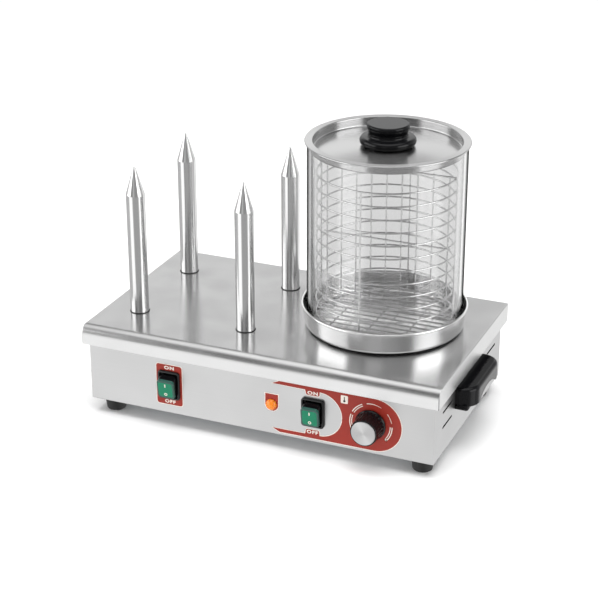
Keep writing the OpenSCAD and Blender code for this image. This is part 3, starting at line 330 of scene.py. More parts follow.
def lettering(name, text, height, x, z, level, finish, body, wide=1.0, bold=0.0):
    """Flat generic lettering on the front, made a mesh before it is placed."""
    curve = bpy.data.curves.new(name, "FONT")
    curve.body, curve.align_x, curve.align_y = text, "CENTER", "CENTER"
    curve.offset, curve.extrude, curve.space_character = bold, 0.02, 1.2
    helper = bpy.data.objects.new(name + "_line", curve)
    bpy.context.scene.collection.objects.link(helper)
    bpy.context.view_layer.update()
    mesh = bpy.data.meshes.new_from_object(helper.evaluated_get(bpy.context.evaluated_depsgraph_get()))
    bpy.data.objects.remove(helper)
    co = np.zeros(len(mesh.vertices) * 3)
    mesh.vertices.foreach_get("co", co)
    co = co.reshape(-1, 3)
    middle = (co.min(0) + co.max(0)) / 2
    scale = height / np.ptp(co[:, 1])
    co = (co - middle) * [scale * wide, scale, 1]
    front = box_mm("body_shell")[0][1]
    placed = np.stack([x + co[:, 0], front - level - co[:, 2], z + co[:, 1]], -1) * MM
    mesh.vertices.foreach_set("co", placed.ravel())
    mesh.name = name
    mesh.update()
    mesh.materials.clear()
    mesh.materials.append(finish)
    piece = bpy.data.objects.new(name, mesh)
    bpy.context.scene.collection.objects.link(piece)
    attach(piece, body)
    return piece


def box_mm(node):
    """Lowest and highest corner of a CAD node, in millimetres."""
    low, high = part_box(node)
    return np.array(low) / MM, np.array(high) / MM


def middle_mm(node):
    """Middle of a CAD node, in millimetres."""
    low, high = box_mm(node)
    return (low + high) / 2


# Finishes

def add(tree, kind, inputs=(), **settings):
    """Adds a node with its settings, and sets or links its inputs."""
    node = tree.nodes.new(kind)
    for key, value in settings.items():
        setattr(node, key, value)
    for key, value in dict(inputs).items():
        if isinstance(value, bpy.types.NodeSocket):
            tree.links.new(value, node.inputs[key])
        else:
            node.inputs[key].default_value = value
    return node


def surface(name, colour, grain=(1, 1, 1), run=False, tone=0.0, rough=0.3, rough_swing=0.0, relief=0.0,
            blotch=0.0, edge=None, **sockets):
    """A finish: grain is the pattern's size in mm along each axis. Its noise shifts the colour by tone, the
    roughness by rough_swing and the surface by relief in mm, and a second noise of 60 mm patches
    shifts the roughness by blotch. With run, the pattern follows the piece's own map. With edge, a clear
    piece is painted that colour where it is seen along its face: painted shade that darkens its edges."""
    material = bpy.data.materials.get(name)
    if material:
        return material
    material = bpy.data.materials.new(name)
    material.use_nodes = True
    tree = material.node_tree
    tree.nodes.clear()
    if run:
        source = add(tree, "ShaderNodeUVMap", uv_map="run").outputs["UV"]
    else:
        source = add(tree, "ShaderNodeTexCoord").outputs["Object"]
    mapped = add(tree, "ShaderNodeMapping", {"Vector": source, "Scale": [1 / (g * MM) for g in grain]})
    noise = add(tree, "ShaderNodeTexNoise", {"Vector": mapped.outputs[0], "Scale": 1.0, "Detail": 3.0})
    place = add(tree, "ShaderNodeTexCoord").outputs["Object"]
    patches = add(tree, "ShaderNodeTexNoise", {"Vector": place, "Scale": 1 / (60 * MM), "Detail": 2.0})
    darker = tuple(c * (1 - tone) for c in colour[:3]) + (1.0,)
    lighter = tuple(min(1.0, c * (1 + tone)) for c in colour[:3]) + (1.0,)
    tint = add(tree, "ShaderNodeValToRGB", {"Fac": noise.outputs["Fac"]})
    tint.color_ramp.elements[0].position, tint.color_ramp.elements[0].color = 0.3, darker
    tint.color_ramp.elements[1].position, tint.color_ramp.elements[1].color = 0.7, lighter
    swing = add(tree, "ShaderNodeMapRange", {"Value": noise.outputs["Fac"], "From Min": 0.3, "From Max": 0.7,
                                             "To Min": rough - rough_swing, "To Max": rough + rough_swing})
    haze = add(tree, "ShaderNodeMapRange", {"Value": patches.outputs["Fac"], "From Min": 0.35,
                                            "From Max": 0.65, "To Min": -blotch, "To Max": blotch})
    total = add(tree, "ShaderNodeMath", {0: swing.outputs[0], 1: haze.outputs[0]}, operation="ADD",
                use_clamp=True)
    shader = add(tree, "ShaderNodeBsdfPrincipled", {"Base Color": tint.outputs["Color"],
                                                    "Roughness": total.outputs[0], **sockets})
    if relief:
        bump = add(tree, "ShaderNodeBump", {"Height": noise.outputs["Fac"], "Distance": relief * MM,
                                            "Strength": 1.0})
        tree.links.new(bump.outputs[0], shader.inputs["Normal"])
    if sockets.get("Anisotropic"):
        tangent = add(tree, "ShaderNodeTangent", direction_type="UV_MAP", uv_map="run")
        tree.links.new(tangent.outputs[0], shader.inputs["Tangent"])
    ending = shader.outputs[0]
    if edge:
        aside = add(tree, "ShaderNodeLayerWeight", {"Blend": 0.5}).outputs["Facing"]
        along = add(tree, "ShaderNodeMapRange", {"Value": aside, "From Min": 0.74, "From Max": 0.88},
                    interpolation_type="SMOOTHSTEP")
        # Painted shade: a grey see-through layer darkens the piece where it is seen along its face
        smoky = add(tree, "ShaderNodeBsdfRefraction", {"Color": edge, "Roughness": 0.0, "IOR": 1.0})
        ending = add(tree, "ShaderNodeMixShader", {0: along.outputs[0], 1: ending,
                                                   2: smoky.outputs[0]}).outputs[0]
    add(tree, "ShaderNodeOutputMaterial", {"Surface": ending})
    return material


def steel():
    """Finish of the stainless pieces, as the user left it."""
    return bpy.context.scene.machine_steel


def controls():
    """Colours of the controls, as the user left them."""
    return bpy.context.scene.machine_controls


def lined(name, colour, grain, smear, **settings):
    """A metal finished in fine lines along the piece's own map. Its reflections smear across the lines,
    which the quarter turn gives."""
    return surface(name, colour, grain, run=True, Metallic=1.0, Anisotropic=smear,
                   **{"Anisotropic Rotation": 0.25}, **settings)


def brushed_sheet():
    """Stainless sheet, belt brushed along the front: reflections smear across the lines, towards the eye."""
    look = steel()
    return lined("brushed stainless sheet", look.cover, (look.brush_run / MM, look.brush_pitch / MM, 1), 0.96,
                 tone=0.025, rough=0.22, rough_swing=0.02, blotch=0.02)


def brushed_body():
    """The same sheet on the folded body: fine level lines, a duller and more even grey."""
    look = steel()
    return surface("brushed stainless body", look.body,
                   (look.brush_run / MM, look.brush_run / MM, look.brush_pitch / MM),
                   tone=0.02, rough=0.36, rough_swing=0.03, blotch=0.02, Metallic=1.0)


def polished_rod():
    """Stainless rod, turned and polished: near mirror with faint rings, so it shows upright bands."""
    return lined("polished stainless rod", steel().rod, (400, 0.8, 1), 0.9, tone=0.02, rough=0.16,
                 rough_swing=0.02)


def spun_sheet():
    """Stainless sheet spun over a former: fine rings round the axis, which draw highlights out along the
    radius."""
    return lined("spun stainless sheet", steel().spun, (300, 0.9, 1), 0.95, tone=0.02, rough=0.2,
                 rough_swing=0.015, blotch=0.01)


def spun_lid_sheet():
    """The lid's sheet, spun the same way, in a greyer copy of the pan's colour that is painted shade: pale
    fans left and right of the knob.
    """
    return lined("spun stainless lid", steel().spun_lid, (300, 0.9, 1), 0.95, tone=0.02, rough=0.22,
                 rough_swing=0.015, blotch=0.01)


def bright_wire():
    """Drawn stainless wire, pickled bright: thin clean glints along each wire."""
    return surface("drawn stainless wire", steel().wire, (40, 2, 2), tone=0.05, rough=0.2, rough_swing=0.04,
                   Metallic=1.0)


def clear_glass():
    """Drawn borosilicate tube: clear, with a painted shade in grey at its edges where it is seen along the
    wall.
    """
    # The edge grey is painted shade standing in for the dark line that reflections give the glass's edges
    return surface("borosilicate glass", paint("#FCFCFC"), (80, 80, 200), rough=0.0, edge=paint("#9A9A9A"),
                   Metallic=0.0, IOR=1.47, **{"Transmission Weight": 1.0})


def glossy_black():
    """Phenolic or ABS moulded in a polished tool: deep black with clear, slightly soft highlights."""
    return surface("moulded gloss black", controls().black, (3, 3, 3), tone=0.1, rough=0.14,
                   rough_swing=0.02, relief=0.004, IOR=1.55, **{"Specular IOR Level": 0.2})


def satin_black():
    """Nylon moulded in an etched tool: black with a low, broad sheen."""
    return surface("moulded satin black", controls().black, (0.9, 0.9, 0.9), tone=0.15, rough=0.34,
                   rough_swing=0.05, relief=0.01, IOR=1.53)


def black_rubber():
    """Moulded rubber: dull charcoal, almost without shine."""
    return surface("moulded black rubber", paint("#161616"), (1.2, 1.2, 1.2), tone=0.2, rough=0.6,
                   rough_swing=0.08, relief=0.02, IOR=1.52)


def red_print():
    """Screen-printed vinyl: even brick red with a soft plastic shine."""
    return surface("printed red vinyl", controls().red, (2, 2, 2), tone=0.04, rough=0.5, rough_swing=0.04,
                   IOR=1.42)


def pale_print():
    """The vinyl's own cream white, left free of ink at edges and letters."""
    return surface("bare cream vinyl", controls().pale, (2, 2, 2), tone=0.02, rough=0.4, rough_swing=0.04,
                   IOR=1.5)


def green_face():
    """Green polycarbonate: saturated, under a skin with little shine."""
    return surface("green polycarbonate", controls().green, (2, 2, 2), tone=0.05, rough=0.22,
                   rough_swing=0.03, IOR=1.58, **{"Specular IOR Level": 0.2})


def green_rim():
    """The same polycarbonate over black: a dark grey green rim."""
    return surface("smoked green polycarbonate", controls().green_rim, (2, 2, 2), tone=0.05, rough=0.22,
                   rough_swing=0.03, IOR=1.58)


def amber_lens():
    """Amber polycarbonate dome: light sinks in and comes back orange, with a sharp gloss spot."""
    return surface("amber polycarbonate", controls().amber, (1.5, 1.5, 1.5), tone=0.12, rough=0.12,
                   rough_swing=0.02, IOR=1.58, **{"Subsurface Weight": 0.4, "Subsurface Scale": 0.002})


def spun_cap():
    """Aluminium disc, face turned and anodised: a soft mid grey, paler in fans about the middle."""
    return lined("turned aluminium cap", controls().cap, (60, 0.4, 1), 0.9, tone=0.02, rough=0.3,
                 rough_swing=0.03)


def zinc_plate():
    """Steel fasteners, bright zinc plated: pale and a little cloudy."""
    return surface("zinc plated steel", paint("#B9BDC0"), (1.5, 1.5, 1.5), tone=0.08, rough=0.34,
                   rough_swing=0.08, Metallic=1.0)


def galvanised_sheet():
    """Galvanised floor sheet: grey with soft cloudy spangle."""
    return surface("galvanised sheet", paint("#A9ADB0"), (9, 9, 9), tone=0.12, rough=0.42, rough_swing=0.08,
                   Metallic=1.0)


def cast_aluminium():
    """Cast plate, turned on its face: dull grey with a fine grain."""
    return surface("cast aluminium", paint("#9B9C9C"), (0.9, 0.9, 0.9), tone=0.1, rough=0.48,
                   rough_swing=0.08, relief=0.03, Metallic=1.0)


def heater_sheath():
    """Drawn nickel alloy tube, darkened by heat."""
    return surface("heat darkened alloy", paint("#5C5650"), (3, 3, 6), tone=0.2, rough=0.45, rough_swing=0.1,
                   Metallic=1.0)


def copper():
    """Drawn copper tube, lightly tarnished."""
    return surface("drawn copper", paint("#B4714A"), (3, 3, 3), tone=0.15, rough=0.32, rough_swing=0.08,
                   Metallic=1.0)


def brass():
    """Stamped brass terminals."""
    return surface("stamped brass", paint("#C2A254"), (2, 2, 2), tone=0.1, rough=0.3, rough_swing=0.06,
                   Metallic=1.0)


def white_ceramic():
    """Glazed ceramic terminal block."""
    return surface("glazed white ceramic", paint("#E9E4D8"), (4, 4, 4), tone=0.04, rough=0.25,
                   rough_swing=0.04, IOR=1.5)


def dark_print():
    """Black ink on the vinyl."""
    return surface("black ink", paint("#1B1B1D"), (1, 1, 1), tone=0.1, rough=0.42, rough_swing=0.04, IOR=1.5)


CAD_FINISHES = {
    brushed_body: ("body_shell", "heater_bridge"),
    galvanised_sheet: ("base_plate",),
    zinc_plate: ("foot_screws", "foot_nuts", "cover_nuts", "floor_screws", "spike_nuts", "heater_nuts",
                 "thermostat_nut", "plate_spacer", "handle_screws", "lid_knob_screw", "thermostat_shaft"),
    heater_sheath: ("spike_heaters", "heating_element"),
    cast_aluminium: ("heating_plate",),
    satin_black: ("thermostat_body", "lamp_body", "lamp_nut", "gland_body", "gland_nut", "gland_locknut"),
    copper: ("thermostat_bulb",),
    brass: ("switch_terminals", "terminal_screws"),
    white_ceramic: ("terminal_block",),
}


# Pieces

class MACHINE_OT_carried_finishes(Operator):
    """Gives the CAD solids that stay in view their finishes"""
    bl_idname = "machine.carried_finishes"
    bl_label = "Finish the carried pieces"

    def execute(self, context):
        for finish, nodes in CAD_FINISHES.items():
            for node in nodes:
                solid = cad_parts[node]
                solid.data.materials.clear()
                solid.data.materials.append(finish())
        return {"FINISHED"}


class MACHINE_OT_cover(Operator):
    """Makes the folded cover with its rolled front edge"""
    bl_idname = "machine.cover"
    bl_label = "Cover"

    nose: length_of("Nose", 12.5, "Radius of the rolled front edge")
    fold: length_of("Fold", 1.6, "Radius of the other folds")
    sheet: length_of("Sheet", 1.2, "Thickness of the sheet")
    corner: length_of("Corner", 1.2, "Radius of the upright corners")

    def execute(self, context):
        low, high = box_mm("top_cover")
        nose, fold, sheet, corner = (v / MM for v in (self.nose, self.fold, self.sheet, self.corner))

        def shell(inset, nose, fold, z0, z1, corner):
            """Rings at rising levels. At a height h above a fold's start, that side draws in by
            radius - sqrt(radius^2 - h^2)."""
            t = np.radians(np.linspace(0, 90, 15))
            levels = np.unique(np.round(np.concatenate([[z0], z1 - nose + nose * np.sin(t),
                                                        z1 - fold + fold * np.sin(t[::2])]), 4))
            front = nose - np.sqrt(np.maximum(nose ** 2 - np.maximum(levels - z1 + nose, 0) ** 2, 0))
            side = fold - np.sqrt(np.maximum(fold ** 2 - np.maximum(levels - z1 + fold, 0) ** 2, 0))
            front, side, levels = (np.append(v, v[-1] + last) for v, last in
                                   ((front, HOLD), (side, HOLD), (levels, 0)))
            return boxed(low[0] + inset + side, high[0] - inset - side, low[1] + inset + front,
                         high[1] - inset - side, corner, levels)

        outer = shell(0, nose, fold, low[2], high[2], corner)
        inner = shell(sheet, nose - sheet, fold - sheet / 2, low[2], high[2] - sheet, corner / 2)
        build("cover_sheet", [skin(np.concatenate([inner[::-1], outer]))], brushed_sheet(), "base",
              ["top_cover"])
        return {"FINISHED"}


class MACHINE_OT_feet(Operator):
    """Makes the four rubber feet"""
    bl_idname = "machine.feet"
    bl_label = "Feet"

    radius: length_of("Radius", 14.6, "Radius of a foot at its top")

    def execute(self, context):
        for node in ("foot_front_left", "foot_front_right", "foot_rear_left", "foot_rear_right"):
            low, high = box_mm(node)
            r, h = self.radius / MM, high[2] - low[2]
            # A wide bore for the screw's head and a narrow one for its shank meet at the seat
            head, shank, seat, draft = 6, 3.2, 8, 2.2
            profile = eased([(head, seat), (head, 0, 0.6), (r - draft, 0, draft), (r, h, 0.6), (shank, h),
                             (shank, seat)], closed=True)
            x = high[0] - r if high[0] > 0 else low[0] + r
            build(node + "_rubber", [skin(turned(profile, (x, middle_mm(node)[1], low[2]), 64), closed=True)],
                  black_rubber(), "base", [node])
        return {"FINISHED"}


class MACHINE_OT_handles(Operator):
    """Makes the two cup handles with their finger pockets"""
    bl_idname = "machine.handles"
    bl_label = "Handles"

    length: length_of("Length", 112, "Length of a handle, from its front end")
    corner: length_of("Corner", 22, "Radius of the outer corners, seen from above")
    edge: length_of("Edge", 5, "Radius of the upper edge")
    deep: length_of("Wall", 24, "Height of the outer wall at its ends")
    arch: length_of("Arch", 10, "Rise of the lower edge in the middle")
    end: length_of("End", 22, "Length of a solid end, and width of its foot")
    wall: length_of("Sheet", 4, "Thickness of the outer wall")
    roof: length_of("Roof", 4.5, "Thickness over the finger pocket")
    foot: length_of("Foot", 17, "Thickness of a foot")

    def execute(self, context):
        length, corner, edge, deep, arch, end, wall, roof, foot = (
            v / MM for v in (self.length, self.corner, self.edge, self.deep, self.arch, self.end, self.wall,
                             self.roof, self.foot))
        for side, sign in (("right", 1), ("left", -1)):
            low, high = box_mm("handle_" + side)
            at, half = (low[0] if sign > 0 else high[0]), length / 2
            middle, reach, top = low[1] + half, high[0] - low[0], high[2]
            pocket, straight = half - end, half - corner
            # The plan is a spine with a normal at each point, so that an inset d lies at
            # spine + (corner - d) * normal. The back stays on the sheet.
            turn = np.radians(np.linspace(0, 90, 25))
            run = np.linspace(-1, 1, 25)[1:-1]
            tip = reach - corner
            root = np.stack([np.linspace(0, tip, 4), np.full(4, -straight)], -1)[:-1]
            spine = np.concatenate([root, np.tile([tip, -straight], (len(turn), 1)),
                                    np.stack([np.full(len(run), tip), run * straight], -1),
                                    np.tile([tip, straight], (len(turn), 1)), root[::-1] * [1, -1]])
            normal = np.concatenate([np.tile([0.0, -1.0], (len(root), 1)),
                                     np.stack([np.sin(turn), -np.cos(turn)], -1),
                                     np.tile([1.0, 0.0], (len(run), 1)),
                                     np.stack([np.cos(turn), np.sin(turn)], -1),
                                     np.tile([0.0, 1.0], (len(root), 1))])
            # The pocket's plan has as many points as the spine: one end, mirrored, the side, the other end
            end_line = np.array([(reach - wall, straight), (reach - wall, pocket), (wall, pocket)])
            far = np.concatenate([[0], np.cumsum(np.linalg.norm(np.diff(end_line, axis=0), axis=1))])
            along = np.linspace(0, far[-1], len(root) + len(turn))
            bend = np.stack([np.interp(along, far, axis) for axis in end_line.T], -1)
            inner = np.concatenate([bend[::-1] * [1, -1],
                                    np.stack([np.full(len(run), reach - wall), run * straight], -1), bend])
            back = np.linspace(1, -1, 17)[1:-1]

            def outline(inset):
                """Plan with its outer sides drawn in by the inset."""
                front = spine + (corner - inset) * normal
                return np.concatenate([front, np.stack([0 * back, back * (half - inset)], -1)])

            def lower(plan, lift=0.0):
                """Lower edge: on a circle that rises by the arch in the middle and meets the ends."""
                ball = (pocket ** 2 + arch ** 2) / (2 * arch)
                y = np.minimum(np.abs(plan[:, 1]), pocket)
                return top - deep + lift + arch - ball + np.sqrt(ball ** 2 - y ** 2)

            def ring(plan, level):
                """The plan at a level, on this side of the body."""
                return np.stack([at + sign * plan[:, 0], middle + plan[:, 1],
                                 np.broadcast_to(level, len(plan))], -1)

            hollow = np.concatenate([inner, np.stack([np.full(len(back), wall), back * pocket], -1)])
            phi = np.radians(np.linspace(0, 90, 11))
            rings = [ring(hollow, top - roof), ring(hollow, lower(hollow)),
                     ring(outline(0.7), lower(outline(0.7))),
                     ring(outline(0.2), lower(outline(0), 0.2)), ring(outline(0), lower(outline(0), 0.7))]
            rings += [ring(outline(edge - edge * math.cos(p)), top - edge + edge * math.sin(p)) for p in phi]
            rings.append(ring(outline(edge + HOLD), top))
            skins = [skin(np.array(rings))]
            # Each foot starts 3 mm inside the outer wall, ends in a half circle, and is rounded by soft
            r, start, soft = end / 2, top - deep + 3, 4.0
            levels = [(0, 0), (0, foot - soft)]
            levels += [(soft - soft * math.cos(p), foot - soft + soft * math.sin(p)) for p in phi[1:]]
            for y in (half - r, r - half):
                shape = eased([(y - r, start), (y - r, low[2], r - 0.05), (y + r, low[2], r - 0.05),
                               (y + r, start)], closed=True, steps=14)
                plans = [(spread_out(shape, -inset), out) for inset, out in levels]
                skins.append(skin(np.array([np.stack([np.full(len(shape), at + sign * out),
                                                      middle + plan[:, 0], plan[:, 1]], -1)
                                            for plan, out in plans])))
            build("handle_cup_" + side, skins, glossy_black(), "base", ["handle_" + side])
        return {"FINISHED"}


class MACHINE_OT_spikes(Operator):
    """Makes the four heated spikes and their gaskets"""
    bl_idname = "machine.spikes"
    bl_label = "Spikes"

    taper: length_of("Taper", 37, "Length of the tapered end")
    point: length_of("Point", 1.6, "Radius of the point")
    stub: length_of("Stub", 8, "Radius of the stub that passes the cover")
    seal: length_of("Seal", 0.8, "How far a gasket stands out past its spike")

    def execute(self, context):
        cover_top = box_mm("top_cover")[1][2]
        gasket = cover_top + self.seal / MM
        rings = []
        for node in ("spike_front_left", "spike_rear_left", "spike_front_right", "spike_rear_right"):
            low, high = box_mm(node)
            r, tip, stub = (high[0] - low[0]) / 2, self.point / MM, self.stub / MM
            shoulder, top = high[2] - self.taper / MM, high[2] - tip
            rise = top - shoulder
            lean = math.degrees(math.atan2(r, rise) - math.asin(tip / math.hypot(r, rise)))
            side = eased([(stub, low[2]), (stub, gasket), (r, gasket, 0.35), (r, shoulder, 1.2),
                          (tip * math.cos(math.radians(lean)), top + tip * math.sin(math.radians(lean)))])
            profile = np.concatenate([side[:-1], arc(0, top, tip, lean, 88, 8)])
            place = (*middle_mm(node)[:2], 0)
            build(node + "_rod", [skin(turned(profile, place, 128))], polished_rod(), "base",
                  [node])
            rim = r + self.seal / MM
            seal = eased([(stub, cover_top), (rim, cover_top), (rim, gasket, 0.4), (stub, gasket)],
                         closed=True)
            rings.append(skin(turned(seal, place, 64), closed=True))
        build("gasket_rings", rings, black_rubber(), "base", ["spike_gaskets"])
        return {"FINISHED"}


class MACHINE_OT_pan(Operator):
    """Makes the spun water pan"""
    bl_idname = "machine.pan"
    bl_label = "Water pan"

    def execute(self, context):
        sizes = context.scene.machine_steamer
        bead, bend, sheet, draft = (v / MM for v in (sizes.pan_bead, sizes.pan_bend, sizes.pan_sheet,
                                                     sizes.pan_draft))
        low, high = box_mm("water_pan")
        centre = middle_mm("glass_cylinder")
        wall = (high[0] - low[0]) / 2 - bead + sheet / 3
        floor = box_mm("glass_cylinder")[0][2] - 0.3
        rim = high[2] - bead
        across, narrow = wall - sheet / 3, wall - draft
        # The points at 40 and 75 keep the shading of the flat floor even
        inside = eased([(0.4, floor), (40, floor), (75, floor), (narrow - sheet, floor, bend - sheet),
                        (wall - sheet - 0.2, rim - bead)], steps=8)
        roll = arc(across, rim, bead, 243, -77, 20)
        outside = eased([(wall - 0.2, rim - bead), (narrow, floor - sheet, bend), (75, floor - sheet),
                         (0.4, floor - sheet)], steps=8)
        profile = np.concatenate([inside, roll, outside])
        build("pan_spun", [skin(turned(profile, (*centre[:2], 0), 160))], spun_sheet(), "base",
              ["water_pan"])
        return {"FINISHED"}


class MACHINE_OT_glass(Operator):
    """Makes the glass cylinder"""
    bl_idname = "machine.glass"
    bl_label = "Glass"

    def execute(self, context):
        sizes = context.scene.machine_steamer
        wall, soft = sizes.glass_wall / MM, sizes.glass_round / MM
        low, high = box_mm("glass_cylinder")
        r = (high[0] - low[0]) / 2
        profile = eased([(r - wall, low[2], soft), (r, low[2], soft), (r, high[2], soft),
                         (r - wall, high[2], soft)], closed=True)
        centre = middle_mm("glass_cylinder")
        build("glass_tube", [skin(turned(profile, (*centre[:2], 0), 192), closed=True)], clear_glass(),
              "glass", ["glass_cylinder"])
        return {"FINISHED"}


class MACHINE_OT_lid(Operator):
    """Makes the spun lid and its turned knob"""
    bl_idname = "machine.lid"
    bl_label = "Lid"

    def execute(self, context):
        sizes = context.scene.machine_steamer
        bead, plug, deep, rise = (v / MM for v in (sizes.lid_bead, sizes.lid_plug, sizes.lid_deep,
                                                   sizes.lid_dome))
        low, high = box_mm("lid")
        centre = (*middle_mm("glass_cylinder")[:2], 0)
        r, top, sheet, gutter = (high[0] - low[0]) / 2, high[2], 1.0, 4.8
        floor, flat = top - deep, plug - gutter
        ball = (flat ** 2 + rise ** 2) / (2 * rise)

        def dome(radius, lower):
            """Height of the domed middle: a ball of the radius that passes its edge and its rise."""
            return floor + rise - ball + np.sqrt(ball ** 2 - radius ** 2) - lower

        at = np.array([3, 10, 20, 34, 48, 62, 76, flat])  # radii of the dome's rings
        above = np.stack([at, dome(at, 0)], -1)
        below = np.stack([at, dome(at, sheet)], -1)[::-1]
        inside = eased([(flat, floor), (plug - sheet, floor, 1.6), (plug - sheet, top, 1.1), (r - bead, top)])
        roll = arc(r - bead, top - bead, bead, 90, -80, 12)
        outside = eased([(r - bead, top - 2 * bead + 0.3), (r - bead - 0.8, top - sheet),
                         (plug, top - sheet, 0.9), (plug, floor - sheet, 2.4), (flat, floor - sheet)])
        profile = np.concatenate([above[:-1], inside, roll, outside[:-1], below])
        build("lid_spun", [skin(turned(profile, centre, 192))], spun_lid_sheet(), "lid", ["lid"])

        base, crown = box_mm("lid_knob")
        # A round foot of the radius roll in section, a waist that curves in, and a flat-topped head
        foot, z, summit = (crown[0] - base[0]) / 2, base[2], crown[2]
        roll, waist, head, bore = 5.25, 24.2, 26.5, 2.55
        shape = np.concatenate([
            [(bore, z), (foot - roll, z)], arc(foot - roll, z + roll, roll, -84, 84, 20),
            eased([(foot - 5.4, z + 2 * roll), (waist, z + 11, 3), (waist, z + 16, 8), (head, z + 22, 5),
                   (head, summit, 2.4), (14, summit), (0.6, summit)], steps=9)])
        build("lid_knob_turned", [skin(turned(shape, centre, 128))], glossy_black(), "lid",
              ["lid_knob"], crease=50)
        return {"FINISHED"}


class MACHINE_OT_basket(Operator):
    """Makes the wire basket: hoops on four ribs, floor grid and hooked divider"""
    bl_idname = "machine.basket"
    bl_label = "Basket"

    def execute(self, context):
        sizes = context.scene.machine_basket
        wire, weld, sides = sizes.wire / MM / 2, sizes.weld / MM, sizes.sides
        low, high = box_mm("basket_wall")
        x, y = middle_mm("basket_wall")[:2]
        hoop = sizes.hoop / MM
        rib = hoop + 2 * wire - weld
        ring, top = low[2] + sizes.ring_up / MM, high[2] - sizes.over / MM
        levels = np.append(ring, np.linspace(ring + sizes.first_up / MM, top, sizes.hoops))
        around = 112
        t = np.arange(around) / around * 2 * np.pi
        circle = np.stack([x + hoop * np.cos(t), y + hoop * np.sin(t), np.zeros_like(t)], -1)
        wall = [skin(drawn(circle + [0, 0, z], wire, sides, closed=True), closed=True) for z in levels]
        for a in np.radians([0, 90, 180, 270]):
            foot = np.array([x + rib * np.cos(a), y + rib * np.sin(a), low[2]])
            wall.append(skin(cut_wire(foot, foot + [0, 0, high[2] - low[2]], wire, sides)))
        build("basket_hoops", wall, bright_wire(), "basket", ["basket_wall"])

        # air is the gap between wires that pass without a weld. The floor wires reach out to the share
        # covered of the hoop.
        air, covered = 0.15, 0.86
        pitch = sizes.floor_pitch / MM
        lying = ring - 2 * wire - air
        count = int(covered * hoop // pitch)
        grid = []
        for b in np.arange(-count, count + 1) * pitch:
            reach = math.sqrt(hoop ** 2 - b ** 2)
            grid.append(skin(cut_wire((x - reach, y + b, lying), (x + reach, y + b, lying), wire, sides)))
        for a in np.array([-0.55, 0, 0.55]) * hoop:
            reach = math.sqrt(hoop ** 2 - a ** 2) - 2 * wire
            z = lying - 2 * wire + weld
            grid.append(skin(cut_wire((x + a, y - reach, z), (x + a, y + reach, z), wire, sides)))
        build("basket_floor_grid", grid, bright_wire(), "basket", ["basket_floor"])

        # The divider stands before the middle by off, and its hooks drop by hang outside the top hoop
        off, hang = 0.4, 11
        across, upright = y - 2 * wire - off, y - off - weld
        high_bar, low_bar = top + 2 * wire + air, ring + wire
        hook, bend = hoop + 2 * wire + 2 * air, 2 * wire
        left = np.concatenate([[(-hook, high_bar - hang)],
                               arc(-hook + bend, high_bar - bend, bend, 180, 90, 9)])
        right = left[::-1] * [-1, 1]
        bar = np.concatenate([left, right])
        path = np.stack([x + bar[:, 0], np.full(len(bar), across), bar[:, 1]], -1)
        divider = [skin(drawn(path, wire, sides))]
        reach = hoop - 3 * wire
        for z in (low_bar, (high_bar + low_bar) / 2):
            divider.append(skin(cut_wire((x - reach, across, z), (x + reach, across, z), wire, sides)))
        step = sizes.upright_pitch / MM
        half = int(reach // step)
        for a in np.arange(-half, half + 1) * step:
            divider.append(skin(cut_wire((x + a, upright, low_bar - wire), (x + a, upright, high_bar + wire),
                                         wire, sides)))
        build("basket_divider_grid", divider, bright_wire(), "basket", ["basket_divider"])
        return {"FINISHED"}


